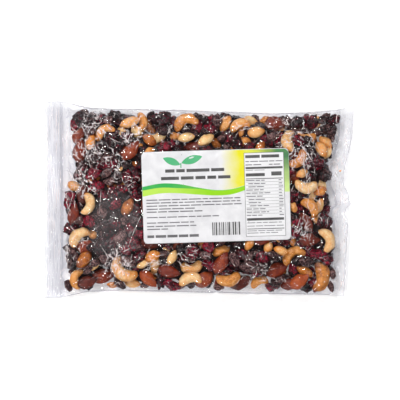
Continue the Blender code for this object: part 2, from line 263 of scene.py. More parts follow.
def cranberry(t, turn):
    size = CRANBERRY * draw.uniform([0.75, 0.8, 0.8], [1.12, 1.12, 1.2])
    points = straight(t, turn, size, np.sin(np.pi * t) ** 0.55)
    wide = points * [0.8, 0.8, 1.6]
    folds = 0.32 * ridges(wide, 10) + 0.18 * ridges(wide, 5) + 0.08 * ridges(wide, 2.8)
    points *= (0.8 + folds)[:, None]
    points[:, 2] += 1.2 * waves(points * [1, 1, 0], 12, 3)
    return points, [((0, 0, 0), size / 2 * [0.88, 0.88, 0.95])]


def raisin(t, turn):
    size = RAISIN * draw.uniform([0.75, 0.8, 0.8], [1.15, 1.15, 1.15])
    points = straight(t, turn, size, np.sin(np.pi * t) ** 0.6)
    long_ways = points * [0.35, 1.1, 1.1]
    folds = 0.26 * ridges(long_ways, 7) + 0.14 * ridges(long_ways, 3.4) + 0.06 * ridges(points, 2.6)
    points *= (0.84 + folds)[:, None]
    points[:, 2] += 0.7 * waves(points * [1, 1, 0], 14, 2)
    return points, [((0, 0, 0), size / 2 * 0.88)]


# %% Nine shapes of each kind
# shape, rings, sides
KINDS = {
    "cashew": (cashew, 26, 18),
    "almond": (almond, 22, 18),
    "peanut": (peanut, 20, 16),
    "cranberry": (cranberry, 18, 14),
    "raisin": (raisin, 18, 14),
}
shapes, skins = {}, {}
for kind, (make, rings, sides) in KINDS.items():
    skins[kind] = ring_skin(rings, sides)
    shapes[kind] = [make(*ring_places(rings, sides)) for _ in range(SHAPES_PER_KIND)]
    print(kind, len(skins[kind][0]), "triangles each")

# %% [markdown]
# ## Packing the bag
# A heap of loose nuts could be dropped with rigid bodies, but a bag that was shaken flat has them pressed
# against the film. So this packs from both films inwards: a height
# map of the upper film comes down, and one of the lower film comes up. Each piece is turned at random,
# tried in a few places, and put where it comes closest to the film. Its own surface then becomes the new
# limit, so that the pieces hardly overlap.

# %% Height maps of the free space
CELL = 1 * MM
MARGIN = 2.4 * MM  # film with nothing in it along the long edges
FOOD_GAP = 0.25 * MM  # between the bag's plain form and the food
# y and x of points along the two ends of the heap, in mm
LEFT_END = [
    (-95, -125), (-60, -127), (-25, -127), (2, -126), (14, -124), (22, -119), (40, -121), (60, -122),
    (75, -119), (95, -117)]
RIGHT_END = [(-95, 129), (-60, 129), (-25, 126), (8, 122), (25, 122), (45, 126), (66, 132), (95, 132)]
RAGGED = 6  # mm, how unevenly the two ends of the heap stop
HALF_CELLS = (156, 112)  # of the maps, from the middle
grid_x = np.arange(-HALF_CELLS[0], HALF_CELLS[0] + 1) * CELL
grid_y = np.arange(-HALF_CELLS[1], HALF_CELLS[1] + 1) * CELL
map_x, map_y = np.meshgrid(grid_x, grid_y, indexing="ij")
ceiling = upper_form(map_x, map_y) - FOOD_GAP
ground = lower_form(map_x, map_y) + FOOD_GAP
inside = inside_edges(map_x, map_y) > MARGIN
ragged_y = range(-95, 100, 5)
ragged_left, ragged_right = (
    list(zip(ragged_y, draw.uniform(0, RAGGED, len(ragged_y)))) for _ in range(2))
inside &= map_x > curve_through(LEFT_END, map_y) + curve_through(ragged_left, map_y)
inside &= map_x < curve_through(RIGHT_END, map_y) - curve_through(ragged_right, map_y)
ceiling[~inside] = -1
ground[~inside] = 1
room = (ceiling - ground)[inside].sum() * CELL**2
print("room for the mix in ml:", round(float(room) * 1e6))

# %% Turning and placing one piece
REACH = 17  # cells from a piece's centre to the end of its footprint
offsets = np.arange(-REACH, REACH + 1) * CELL
foot_x, foot_y = np.meshgrid(offsets, offsets, indexing="ij")


def turned(yaw, tilt, roll):
    """Rotation matrix: roll about the length, then tilt, then yaw."""
    cy, sy, ct, st, cr, sr = (f(a) for a in (yaw, tilt, roll) for f in (math.cos, math.sin))
    about_z = np.array([[cy, -sy, 0], [sy, cy, 0], [0, 0, 1]])
    about_y = np.array([[ct, 0, st], [0, 1, 0], [-st, 0, ct]])
    about_x = np.array([[1, 0, 0], [0, cr, -sr], [0, sr, cr]])
    return about_z @ about_y @ about_x


def footprint(parts, turn, size):
    """Upper and lower surface of a piece over its own footprint, with its centre at height 0."""
    upper, lower = np.full(foot_x.shape, -np.inf), np.full(foot_x.shape, np.inf)
    for centre, radii in parts:
        middle = turn @ np.array(centre) * MM * size
        form = turn @ np.diag((np.array(radii) * MM * size) ** -2.0) @ turn.T
        dx, dy = foot_x - middle[0], foot_y - middle[1]
        b = form[0, 2] * dx + form[1, 2] * dy
        c = form[0, 0] * dx**2 + 2 * form[0, 1] * dx * dy + form[1, 1] * dy**2 - 1
        inner = b * b - form[2, 2] * c
        root = np.sqrt(np.maximum(inner, 0))
        upper = np.where(inner > 0, np.maximum(upper, middle[2] + (root - b) / form[2, 2]), upper)
        lower = np.where(inner > 0, np.minimum(lower, middle[2] - (root + b) / form[2, 2]), lower)
    return upper, lower


def window(i, j):
    """The part of a map that a footprint round this cell covers."""
    return slice(i - REACH, i + REACH + 1), slice(j - REACH, j + REACH + 1)


def height_for(upper, lower, i, j, from_above):
    """Where a piece's centre comes to lie at this cell against one film, or None if it doesn't fit."""
    here = window(i, j)
    if from_above:
        z = (ceiling[here] - upper).min()
        return z if (z + lower - ground[here]).min() > 0 else None
    z = (ground[here] - lower).max()
    return z if (z + upper - ceiling[here]).max() < 0 else None


placed = []


def settle(kind, shape, turn, size, i, j, z, upper, lower, from_above):
    """Takes the piece's room out of the maps and notes where it lies."""
    here = window(i, j)
    covered = np.isfinite(upper)
    if from_above:
        ceiling[here][covered] = np.minimum(ceiling[here], z + lower)[covered]
    else:
        ground[here][covered] = np.maximum(ground[here], z + upper)[covered]
    placed.append((kind, shape, turn, size, (grid_x[i], grid_y[j], z)))


# %% [markdown]
# The photograph shows where the large pieces lie against the upper film. They go in first, one by one,
# each with a small random tilt. A piece that doesn't fit is tried a few millimetres further.

# %% The pieces that show most
# kind, x and y of the middle in mm, turn in degrees, and size
LEADING_PIECES = [
    ("cashew", -69, -63, 135, 1.18), ("cashew", -12, 73, 20, 0.98), ("cashew", 98, 15, 175, 1.0),
    ("peanut", 112, 46, -60, 1.22), ("cashew", 26, -70, 190, 1.08), ("cashew", -8, -79, 10, 1.0),
    ("cashew", 108, -74, 265, 1.3), ("almond", 20, -58, 60, 1.0), ("peanut", 20, -47, 15, 1.15),
    ("almond", 38, -79, 20, 0.98), ("peanut", -64, 71, 20, 1.2), ("peanut", -58, 62, -60, 1.1),
    ("cashew", -56, 70, 250, 0.85), ("peanut", -100, 53, 75, 1.0), ("almond", -116, 45, 80, 1.05),
    ("almond", -117, 63, 60, 0.8), ("almond", -63, 45, 50, 1.0), ("peanut", -12, 57, 10, 1.05),
    ("peanut", 6, 55, 30, 1.1), ("peanut", -23, 58, 20, 1.0), ("cashew", 38, 66, 20, 0.9),
    ("peanut", 52, 62, 10, 1.2), ("peanut", 24, 70, 60, 1.1), ("peanut", 14, 52, -40, 1.15),
    ("cashew", -112, -36, 40, 1.05), ("peanut", -106, -55, 50, 1.2), ("almond", -119, -13, 75, 0.85),
    ("cashew", -104, -4, 260, 0.9), ("almond", -107, 6, 85, 0.95), ("peanut", -115, 12, -30, 1.1),
    ("almond", -103, -76, 20, 0.9), ("cashew", -118, -79, 80, 0.8), ("peanut", -66, -7, 60, 1.1),
    ("almond", 5, -76, 40, 1.0), ("almond", 14, -86, 80, 0.85), ("peanut", 75, -47, -20, 1.0),
    ("cashew", 87, -52, 30, 0.95), ("almond", 72, -64, 30, 1.1), ("cashew", 119, -41, 285, 0.95),
    ("cashew", 100, -9, 310, 0.95), ("almond", 92, -78, 35, 0.95), ("peanut", 97, -66, -30, 1.1),
    ("peanut", 110, -6, 65, 1.0), ("almond", 60, -34, 40, 0.95), ("peanut", 46, -40, 60, 1.0),
    ("peanut", -43, -52, 25, 1.15), ("peanut", -25, -53, 60, 1.0), ("cashew", -8, -60, 185, 0.95),
    ("almond", -28, -66, -15, 1.0), ("peanut", -62, -80, -10, 1.05), ("peanut", 120, 28, 40, 1.1),
    ("peanut", 117, 8, 20, 1.0), ("almond", 70, 73, 0, 1.0), ("peanut", -46, 70, -55, 0.95),
    ("peanut", -98, -32, -50, 1.05), ("almond", -15, -69, 10, 0.85), ("almond", -88, -70, 15, 1.1),
    ("cashew", -86, 62, 30, 0.75), ("cashew", 56, -78, 20, 0.8), ("almond", 84, -84, 10, 0.8),
]
SHIFTS = (0, -3, 3, -6, 6)  # mm, tried in turn
SMALL_TILT = 0.15  # radians
for kind, x, y, yaw, size in LEADING_PIECES:
    shape = int(draw.integers(SHAPES_PER_KIND))
    tilt, roll = draw.uniform(-SMALL_TILT, SMALL_TILT, 2)
    turn = turned(math.radians(yaw), tilt, roll)
    upper, lower = footprint(shapes[kind][shape][1], turn, size)
    for a, b in ((a, b) for a in SHIFTS for b in SHIFTS):
        i, j = round(x + a) + HALF_CELLS[0], round(y + b) + HALF_CELLS[1]
        z = height_for(upper, lower, i, j, True)
        if z is not None:
            settle(kind, shape, turn, size, i, j, z, upper, lower, True)
            break
print(len(placed), "of", len(LEADING_PIECES), "leading pieces lie in the bag")

# %% [markdown]
# The tries to place the rest follow the mix itself: two in five are cranberries, more than a quarter
# raisins, and the others nuts, until there are 400 of a kind. Two of three tries start from the upper film,
# because that side shows. A new piece starts where the film is still open, and from time to time along the
# heap's rim. A dark stretch left of the label gets no more nuts. In the last part of the tries smaller
# pieces look for deeper gaps.

# %% Fill the rest
MIX = {"cranberry": 0.42, "raisin": 0.28, "peanut": 0.16, "cashew": 0.08, "almond": 0.06}
DARK_STRETCH = (-100, -53, -54, 8)  # x and y limits in mm
DARK_KINDS = ("cranberry", "raisin")
SPOTS_TRIED = 30
TRIES = 5000
MOST_OF_A_KIND = 400  # so that no mesh gets over 200,000 triangles
LATE = 0.6  # share of the tries, after which the pieces are smaller
LATE_SIZE = 0.88
LATE_DEPTH = 4  # times the usual one
SIZES = (0.84, 1.14)
TILTS = (0.28, 0.35)  # radians, how much tilt and roll spread
REFRESH = 25  # tries between two looks for open cells
OPEN_DEPTH = 3.5 * MM  # a cell of the film with nothing nearer than this is open
names = list(MIX)
top_form, under_form = upper_form(map_x, map_y), lower_form(map_x, map_y)
near_rim = np.zeros(inside.shape, bool)
RIM = 9  # cells
for a, b in ((RIM, 0), (-RIM, 0), (0, RIM), (0, -RIM)):
    near_rim |= inside & ~np.roll(inside, (a, b), (0, 1))
for attempt in range(TRIES):
    late = attempt > TRIES * LATE
    kind = names[draw.choice(len(names), p=list(MIX.values()))]
    if sum(1 for piece in placed if piece[0] == kind) >= MOST_OF_A_KIND:
        continue
    from_above = attempt % 3 != 0
    if attempt % REFRESH == 0:
        here = inside & (near_rim if attempt % (5 * REFRESH) == 0 else True)
        depth = OPEN_DEPTH * (LATE_DEPTH if late else 1)
        open_above = np.argwhere(here & (ceiling > top_form - depth))
        open_below = np.argwhere(here & (ground < under_form + depth))
    start_cells = open_above if from_above else open_below
    if len(start_cells) == 0:
        continue
    shape = int(draw.integers(SHAPES_PER_KIND))
    turn = turned(draw.uniform(0, 2 * math.pi), draw.normal(0, TILTS[0]), draw.normal(0, TILTS[1]))
    size = draw.uniform(*SIZES) * (LATE_SIZE if late else 1)
    upper, lower = footprint(shapes[kind][shape][1], turn, size)
    best = None
    for i, j in start_cells[draw.integers(len(start_cells), size=SPOTS_TRIED)]:
        x, y = grid_x[i] / MM, grid_y[j] / MM
        dark = DARK_STRETCH[0] < x < DARK_STRETCH[1] and DARK_STRETCH[2] < y < DARK_STRETCH[3]
        if from_above and dark and kind not in DARK_KINDS:
            continue
        z = height_for(upper, lower, i, j, from_above)
        if z is None:
            continue
        depth = top_form[i, j] - z if from_above else z - under_form[i, j]
        if best is None or depth < best[0]:
            best = (depth, i, j, z)
    if best:
        settle(kind, shape, turn, size, best[1], best[2], best[3], upper, lower, from_above)
counts = {kind: sum(1 for piece in placed if piece[0] == kind) for kind in KINDS}
print("pieces in the bag:", counts, sum(counts.values()))

# %% [markdown]
# Each kind becomes one mesh. Its pieces are copies of the kind's shapes, turned and moved with numpy, which
# is far quicker than an object for each.

# %% One mesh for each kind
def mesh_object(name, points, faces, corners=None, material=None):
    """A smooth object from arrays of points and of equal-sided faces, with a UV for each corner."""
    data = bpy.data.meshes.new(name)
    sides = faces.shape[1]
    data.vertices.add(len(points))
    data.vertices.foreach_set("co", np.ascontiguousarray(points, np.float32).ravel())
    data.loops.add(faces.size)
    data.loops.foreach_set("vertex_index", faces.ravel().astype(np.int32))
    data.polygons.add(len(faces))
    data.polygons.foreach_set("loop_start", np.arange(0, faces.size, sides, dtype=np.int32))
    data.update(calc_edges=True)
    data.validate()
    if corners is not None:
        data.uv_layers.new(name="place").data.foreach_set("uv", corners.astype(np.float32).ravel())
    data.shade_smooth()
    if material:
        data.materials.append(material)
    made = bpy.data.objects.new(name, data)
    bpy.context.scene.collection.objects.link(made)
    return made


PRESSED_FLAT = 0.3 * MM  # the lowest food, above the film that it presses on the floor


def grid_faces(index):
    """Quads between the points of a grid, from the grid of their indices."""
    return np.stack([index[:-1, :-1], index[1:, :-1], index[1:, 1:], index[:-1, 1:]], -1).reshape(-1, 4)


def joined(kind):
    """Points, triangles and their corners' places for all pieces of a kind."""
    triangles, corners = skins[kind]
    points, faces, places = [], [], []
    count = 0
    for _, shape, turn, size, centre in (piece for piece in placed if piece[0] == kind):
        body = shapes[kind][shape][0] * MM * size @ turn.T + np.array(centre)
        body[:, 2] = np.maximum(body[:, 2], FILM_LOW + PRESSED_FLAT)
        points.append(body)
        faces.append(triangles + count)
        places.append(corners)
        count += len(body)
    return np.concatenate(points), np.concatenate(faces), np.concatenate(places)


mix = {kind: joined(kind) for kind in KINDS}
all_points = np.concatenate([points for points, _, _ in mix.values()])
volume = 0
for points, faces, _ in mix.values():
    a, b, c = (points[faces[:, k]] for k in range(3))
    volume += float(np.einsum("ij,ij->i", a, np.cross(b, c)).sum() / 6)
print("volume of the nuts and fruit in ml:", round(volume * 1e6))
print("their triangles:", sum(len(faces) for _, faces, _ in mix.values()))

# %% [markdown]
# ## Materials of the food
# Colours are picked as sRGB hex codes and turned to linear light by one function. One helper adds any
# shader node with its settings, its inputs and, for a ramp, its stops. Patterns are scaled from real sizes:
# a noise texture's scale is one over the size of its spots in metres. Each piece of food is an island of
# its mesh, so it gets a tone of its own, and the UV runs along it, so its tips can be browner.

# %% Colour and node helpers
def linear(code):
    """An sRGB hex code such as "D9A066" as linear red, green, blue and alpha."""
    parts = [int(code[k:k + 2], 16) / 255 for k in (0, 2, 4)]
    return (*(v / 12.92 if v <= 0.04045 else ((v + 0.055) / 1.055) ** 2.4 for v in parts), 1)


def feed(tree, node, inputs):
    """Gives a node's inputs, by name or number, values or other nodes' outputs."""
    for key, value in inputs.items():
        if isinstance(value, bpy.types.NodeSocket):
            tree.links.new(value, node.inputs[key])
        else:
            node.inputs[key].default_value = value


def add(tree, kind, inputs=None, stops=None, **settings):
    """Adds a shader node with its settings, its inputs and, for a ramp, its stops."""
    node = tree.nodes.new("ShaderNode" + kind)
    for name, value in settings.items():
        setattr(node, name, value)
    feed(tree, node, inputs or {})
    for k, (place, code) in enumerate(stops or []):
        ramp = node.color_ramp.elements
        stop = ramp[k] if k < 2 else ramp.new(place)
        stop.position = place
        stop.color = linear(code)
    return node


def noise(tree, place, size, detail, **inputs):
    """The outputs of a noise texture with spots of this size in mm."""
    inputs = {"Vector": place, "Scale": 1 / (size * MM), "Detail": detail, **inputs}
    return add(tree, "TexNoise", inputs).outputs


def figure(tree, operation, *values):
    """The result of a Math node."""
    return add(tree, "Math", dict(enumerate(values)), operation=operation).outputs[0]


def remap(tree, value, from_min, from_max, to_min=0.0, to_max=1.0):
    """The value moved from one range to another and kept within it."""
    limits = {"From Min": from_min, "From Max": from_max, "To Min": to_min, "To Max": to_max}
    return add(tree, "MapRange", {"Value": value, **limits}).outputs[0]


def bumped(tree, height, distance, strength=1.0, below=None, **settings):
    """The normal of a surface with this relief, on top of another relief if one is given."""
    inputs = {"Height": height, "Distance": distance, "Strength": strength}
    if below is not None:
        inputs["Normal"] = below
    return add(tree, "Bump", inputs, **settings).outputs["Normal"]


def object_place(tree):
    return add(tree, "TexCoord").outputs["Object"]


def new_material(name, inputs=None):
    made = bpy.data.materials.new(name)
    made.use_nodes = True
    surface = made.node_tree.nodes["Principled BSDF"]
    feed(made.node_tree, surface, inputs or {})
    return made, made.node_tree, surface


FOLD_OVER_GRAIN = 2.6  # a fold's width over the grain's
FOLD_HALF = 0.16  # of the noise, from a fold's valley to its ridge
# A fold's valley is painted darker as shade, and its ridge lighter as a highlight.
FOLD_SHADE_AND_HIGHLIGHT = (-0.3, 0.24)  # of that valley and ridge, on the colour ramp


def food_material(name, stops, spot, tone_share, roughness, grain, relief, coat=0.0, tips=0.0, folds=0.0):
    """A food's skin: spots of this size in mm, a tone for each piece, browner tips, and fine relief.

    grain, relief and folds are in mm. Folds are a shrunken skin's sharp creases, with painted shade in the
    valleys.
    """
    made, tree, surface = new_material(name)
    place = object_place(tree)
    tone = add(tree, "NewGeometry").outputs["Random Per Island"]
    spots = noise(tree, place, spot, 5.0, Roughness=0.65)["Fac"]
    mixed = add(tree, "Mix", {0: tone_share, 2: spots, 3: tone}).outputs[0]
    along = add(tree, "SeparateXYZ", {0: add(tree, "UVMap", uv_map="place").outputs["UV"]}).outputs[0]
    from_middle = figure(tree, "SUBTRACT", along, 0.5)
    squared = figure(tree, "MULTIPLY", from_middle, from_middle)
    toned = figure(tree, "MULTIPLY_ADD", squared, -4 * tips, mixed)
    fine = noise(tree, place, grain, 3.0)["Fac"]
    speckled = figure(tree, "MULTIPLY_ADD", fine, 0.5, toned)
    shade = figure(tree, "SUBTRACT", speckled, 0.25)
    bump = bumped(tree, fine, relief * MM)
    if folds:
        wide = noise(tree, place, FOLD_OVER_GRAIN * grain, 1.0, Distortion=0.8)["Fac"]
        crease = figure(tree, "ABSOLUTE", figure(tree, "SUBTRACT", wide, 0.5))
        bump = bumped(tree, crease, 4 * folds * MM, 1.0, bump)
        # Painted shade in the folds' valleys and a painted highlight on their ridges; on raisins the ridges
        # are also their bloom.
        shade = figure(tree, "ADD", shade, remap(tree, crease, 0.0, FOLD_HALF, *FOLD_SHADE_AND_HIGHLIGHT))
    feed(tree, surface, {
        "Base Color": add(tree, "ValToRGB", {"Fac": shade}, stops=stops).outputs["Color"], "Normal": bump,
        "Roughness": roughness, "IOR": 1.46, "Specular IOR Level": 0.3 if folds else 0.5,
        "Coat Weight": coat, "Coat Roughness": 0.2})
    return made


# %% [markdown]
# Cashews and peanuts are roasted in oil: a pale kernel, browned in patches, with a faint oily shine.
# Almonds keep their papery brown skin, which is dull and a little rough. Cranberries are infused with sugar,
# so they are dark red and glossy. Raisins are nearly black, with a dull waxy bloom on their ridges. On both
# fruits the folds get painted shade in their valleys and a painted highlight on their ridges.

# %% Five food finishes
oil_roasted_cashew = food_material(
    "oil roasted cashew", [(0.2, "92460F"), (0.45, "EC9C48"), (0.74, "FFE0AA")],
    spot=5, tone_share=0.35, roughness=0.42, grain=0.8, relief=0.14, tips=0.2)
oil_roasted_peanut = food_material(
    "oil roasted peanut", [(0.2, "8A3E0C"), (0.45, "EC923A"), (0.76, "FFDC9C")],
    spot=4, tone_share=0.45, roughness=0.38, grain=0.7, relief=0.14, tips=0.2)
brown_almond_skin = food_material(
    "brown almond skin", [(0.2, "380A02"), (0.5, "7E2408"), (0.8, "BC561C")],
    spot=4, tone_share=0.4, roughness=0.5, grain=0.5, relief=0.16, tips=0.15)
sugared_cranberry = food_material(
    "sugar infused dried cranberry", [(0.2, "0E0003"), (0.5, "3A0212"), (0.86, "98122E")],
    spot=4, tone_share=0.55, roughness=0.3, grain=1.2, relief=0.2, coat=0.1, folds=0.45)
sun_dried_raisin = food_material(
    "sun dried raisin", [(0.2, "0C0103"), (0.5, "34151A"), (0.85, "8E6A66")],
    spot=5, tone_share=0.5, roughness=0.4, grain=1.0, relief=0.2, folds=0.45)
food_finish = {
    "cashew": oil_roasted_cashew, "almond": brown_almond_skin, "peanut": oil_roasted_peanut,
    "cranberry": sugared_cranberry, "raisin": sun_dried_raisin,
}
food = {}
for kind, (points, faces, corners) in mix.items():
    food[kind] = mesh_object("mix_" + kind, points, faces, corners, food_finish[kind])
print("food pieces:", [thing.name for thing in food.values()])

# %% [markdown]
# ## The heap as height maps
# The film lies on the outermost points of the heap. The highest mesh point in each millimetre cell, spread
# by one cell, gives a map that the film must stay above, and the same from below gives its underside.
# Under the sticker the paper bridges the small gaps, so there the map is spread further and smoothed.

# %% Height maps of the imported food
def highest(points, empty):
    """The highest point in each cell, and this height where a cell is empty."""
    i = np.rint((points[:, 0] - grid_x[0]) / CELL).astype(int)
    j = np.rint((points[:, 1] - grid_y[0]) / CELL).astype(int)
    found = np.full(map_x.shape, -1.0)
    np.maximum.at(found, (i, j), points[:, 2])
    return np.where(found < 0, empty, found)


def spread(heights, cells):
    """Each cell takes the highest value within so many cells of it."""
    for _ in range(cells):
        padded = np.pad(heights, 1, mode="edge")
        shifted = [padded[1 + a:padded.shape[0] - 1 + a, 1 + b:padded.shape[1] - 1 + b]
                   for a, b in ((0, 0), (1, 0), (-1, 0), (0, 1), (0, -1))]
        heights = np.max(shifted, axis=0)
    return heights


def smoothed(heights, size):
    """A Gaussian blur of this size in metres."""
    frequency_x = np.fft.fftfreq(heights.shape[0], CELL)[:, None]
    frequency_y = np.fft.rfftfreq(heights.shape[1], CELL)[None, :]
    blur = np.exp(-2 * (np.pi * size) ** 2 * (frequency_x**2 + frequency_y**2))
    return np.fft.irfft2(np.fft.rfft2(heights) * blur, s=heights.shape)


def sample(heights, x, y):
    """The map's height between its cells."""
    u = np.clip((x - grid_x[0]) / CELL, 0, len(grid_x) - 1.001)
    v = np.clip((y - grid_y[0]) / CELL, 0, len(grid_y) - 1.001)
    i, j = u.astype(int), v.astype(int)
    a, b = u - i, v - j
    low = heights[i, j] * (1 - b) + heights[i, j + 1] * b
    high = heights[i + 1, j] * (1 - b) + heights[i + 1, j + 1] * b
    return low * (1 - a) + high * a


FILM_GAP = 0.15 * MM  # between the food's mesh points and the film's
heap_top = spread(highest(all_points, 0.0), 1) + FILM_GAP
# upside down, and one metre up, so that the lowest points become the highest
turned_over = all_points * [1, 1, -1] + [0, 0, 1]
heap_under = -spread(highest(turned_over, 0.5) - 1, 1) - FILM_GAP
print("heap's top in mm:", round(float(heap_top.max()) / MM, 1))
print("heap's underside in mm:", round(float(heap_under.min()) / MM, 2))

# %% [markdown]
# ## A dark core
# Between the outer pieces one sees no floor, only more fruit in deep shade. Pieces that never show would
# cost time, so a dark bumpy core stands for them, some millimetres inside the heap. Its colour is painted
# shade, darker than the fruit's own.

# %% Core
CORE_DEPTH = 6.5 * MM
CORE_STEP = 3  # cells
CORE_SETBACK = 6  # cells, from the heap's rim
BUMP = 0.8 * MM
BUMP_LENGTH = 9  # mm
FILLED_FROM = 5 * MM  # a cell whose highest point is lower than this holds no food
filled_cells = heap_top > FILLED_FROM
outer_top = np.where(filled_cells, heap_top, upper_form(map_x, map_y))
outer_under = np.where(filled_cells, heap_under, lower_form(map_x, map_y))
CORE_BLUR = 5 * MM
middle = smoothed((outer_top + outer_under) / 2, CORE_BLUR)
half_core = smoothed((outer_top - outer_under) / 2, CORE_BLUR) - CORE_DEPTH
deep_inside = -spread(-filled_cells.astype(float), CORE_SETBACK) > 0.5
core_cells = (half_core > BUMP) & deep_inside

every = (slice(None, None, CORE_STEP),) * 2
core_cells, middle, half_core = core_cells[every], middle[every], half_core[every]
core_x, core_y = map_x[every], map_y[every]
flat_places = np.stack([core_x, core_y, 0 * core_x], -1).reshape(-1, 3) / MM
bumps = BUMP * waves(flat_places, BUMP_LENGTH, 9).reshape(core_x.shape) * 3
rim = core_cells & (spread(-core_cells.astype(float), 1) > -0.5)
half_core = np.where(rim, 0, np.maximum(half_core + bumps, 0))
all_quads = grid_faces(np.arange(core_x.size).reshape(core_x.shape))
core_quads = all_quads[core_cells.ravel()[all_quads].all(1)]
core_points = np.concatenate([
    np.stack([core_x, core_y, middle + side * half_core], -1).reshape(-1, 3) for side in (1, -1)])
core_faces = np.concatenate([core_quads, core_quads[:, ::-1] + core_x.size])
used, again = np.unique(core_faces, return_inverse=True)
# The core's colours are painted shade: darker than the fruit's own.
fruit_in_painted_shade = food_material(
    "shaded dried fruit", [(0.2, "0A0305"), (0.5, "1C080C"), (0.8, "341014")],
    spot=5, tone_share=0, roughness=0.6, grain=0.9, relief=0.2, folds=0.35)
core = mesh_object("mix_core", core_points[used], again.reshape(core_faces.shape), material=fruit_in_painted_shade)
print("core:", len(core.data.polygons), "faces")

# %% [markdown]
# ## Where the label lies
# The sticker has its own frame: u to the right and v up, from its middle. Its paper is far stiffer than the
# film, so it keeps only the heap's broad bumps.

# %% The label's frame and its bed
LABEL_SIZE = (135 * MM, 84 * MM)
LABEL_CENTRE = (15.3 * MM, 3.4 * MM)
LABEL_TURN = math.radians(1.7)
LABEL_CORNER = 4 * MM
PAPER = 0.1 * MM


def from_label(u, v):
    """The frame's x and y of a place on the label."""
    c, s = math.cos(LABEL_TURN), math.sin(LABEL_TURN)
    return LABEL_CENTRE[0] + u * c - v * s, LABEL_CENTRE[1] + u * s + v * c


def to_label(x, y):
    """The label's u and v of a place in the frame."""
    c, s = math.cos(LABEL_TURN), math.sin(LABEL_TURN)
    dx, dy = x - LABEL_CENTRE[0], y - LABEL_CENTRE[1]
    return dx * c + dy * s, dy * c - dx * s


def beside_label(x, y):
    """How far a place lies outside the label, or below 0 on it."""
    u, v = to_label(x, y)
    return np.maximum(np.abs(u) - LABEL_SIZE[0] / 2, np.abs(v) - LABEL_SIZE[1] / 2)


# cells that the heap's map is spread by, and the blur: for the broad form, and closer to single pieces
BROAD = (4, 4.5 * MM)
CLOSE = (1, 1.2 * MM)
LAST_BLUR = 2 * MM
LIFT = 0.2 * MM
label_bed = np.maximum(*(smoothed(spread(outer_top, cells), blur) for cells, blur in (BROAD, CLOSE)))
label_bed = smoothed(label_bed, LAST_BLUR) + LIFT
covered = label_bed[beside_label(map_x, map_y) < 0] / MM
print("label bed in mm:", round(float(covered.min()), 1), "to", round(float(covered.max()), 1))

# %% [markdown]
# ## Draping the film
# Real film hardly stretches, so where it has a little too much length it buckles into sharp crinkles
# between the nuts. That is what gives a clear bag its glints. Here a grid of numpy arrays does it: every
# point sinks a little, then each link between neighbours is pulled back to its own length, slightly more
# than the bag's form needs, and no point may enter the heap. Points on the welded ends, along the two long
# edges and under the label stay where they are.

# %% The film's grid
FILM_STEP = 1.5 * MM
RIB_PITCH = 2 * MM  # the real 1.2 mm is too fine to show
RIB_DEPTH = 0.13 * MM
POINTS_PER_RIB = 4
COLUMNS = 125
WELD = 0.05 * MM  # half of the distance between the two welded films
# y and x of points along the right edge, in mm
RIGHT_EDGE = [
    (-89.5, 133.2), (-74, 134.4), (-59, 135.2), (-37, 136.2), (-24, 137), (-15, 134.4), (-8.5, 135.4),
    (-4.5, 139.2), (0, 138), (6, 137), (12, 133.8), (18, 133.2), (29, 134), (44, 137.8), (59, 140.8),
    (88, 142.5)]
EDGE_REACH = 34 * MM  # how far into the bag the uneven right edge moves the film


def end_shift(x, y):
    """How far the uneven right edge moves the film along X."""
    cut = curve_through(RIGHT_EDGE, y) - HALF_LENGTH
    return cut * smooth_step(HALF_LENGTH - EDGE_REACH, HALF_LENGTH - RIGHT_SEAL, x)


def stations():
    """x of each row of the film's grid, and the height of its rib."""
    rows = []
    for start, end in ((-HALF_LENGTH, INNER_LEFT), (INNER_RIGHT, HALF_LENGTH)):
        count = round((end - start) / RIB_PITCH) * POINTS_PER_RIB
        for k in range(count + 1):
            height = RIB_DEPTH * math.cos(2 * math.pi * k / POINTS_PER_RIB)
            rows.append((start + (end - start) * k / count, height))
    count = round((INNER_RIGHT - INNER_LEFT) / FILM_STEP)
    rows += [(INNER_LEFT + (INNER_RIGHT - INNER_LEFT) * k / count, 0) for k in range(1, count)]
    return np.array(sorted(rows)).T


def sheet_at_rest(form, weld):
    """The film over its plain form, with its points evenly spaced along each row."""
    xs, ribs = stations()
    shares = np.sin(np.linspace(-1, 1, 801) * np.pi / 2)
    sheet = np.zeros((len(xs), COLUMNS, 3))
    for row, (x, rib) in enumerate(zip(xs, ribs)):
        high, low = curve_through(HIGH_EDGE, x), curve_through(LOW_EDGE, x)
        y = (high + low) / 2 + shares * (high - low) / 2
        z = form(np.full(y.shape, x), y)
        length = np.concatenate([[0], np.cumsum(np.hypot(np.diff(y), np.diff(z)))])
        even = np.linspace(0, length[-1], COLUMNS)
        sheet[row, :, 1] = np.interp(even, length, y)
        sheet[row, :, 2] = np.interp(even, length, z) + rib + weld
        sheet[row, :, 0] = x + end_shift(x, sheet[row, :, 1])
    return sheet


upper_rest = sheet_at_rest(upper_form, WELD)
lower_rest = sheet_at_rest(lower_form, -WELD)
print("film grid:", upper_rest.shape[:2])

# %% [markdown]
# Links run along both directions and both diagonals of the grid, and longer, weaker ones keep a fold from
# being sharper than film can be. Each group of links shares no point, so numpy can move it in one go.

# %% Links and draping
def link_groups(rest, reach_i, reach_j, extra, pull, push):
    """Groups of links from (i, j) to (i + reach_i, j + reach_j), with their lengths and stiffness."""
    rows, columns = rest.shape[:2]
    step = 2 * max(reach_i, reach_j)
    left, right = max(0, -reach_j), max(0, reach_j)
    groups = []
    for first in range(step):
        if reach_i:
            a = (slice(first, rows - reach_i, step), slice(left, columns - right))
            b = (slice(first + reach_i, rows, step), slice(right, columns - left))
        else:
            a = (slice(None), slice(first, columns - reach_j, step))
            b = (slice(None), slice(first + reach_j, columns, step))
        length = np.linalg.norm(rest[b] - rest[a], axis=2) * (1 + (extra[a] + extra[b]) / 2)
        groups.append((a, b, length.astype(np.float32), pull, push))
    return groups


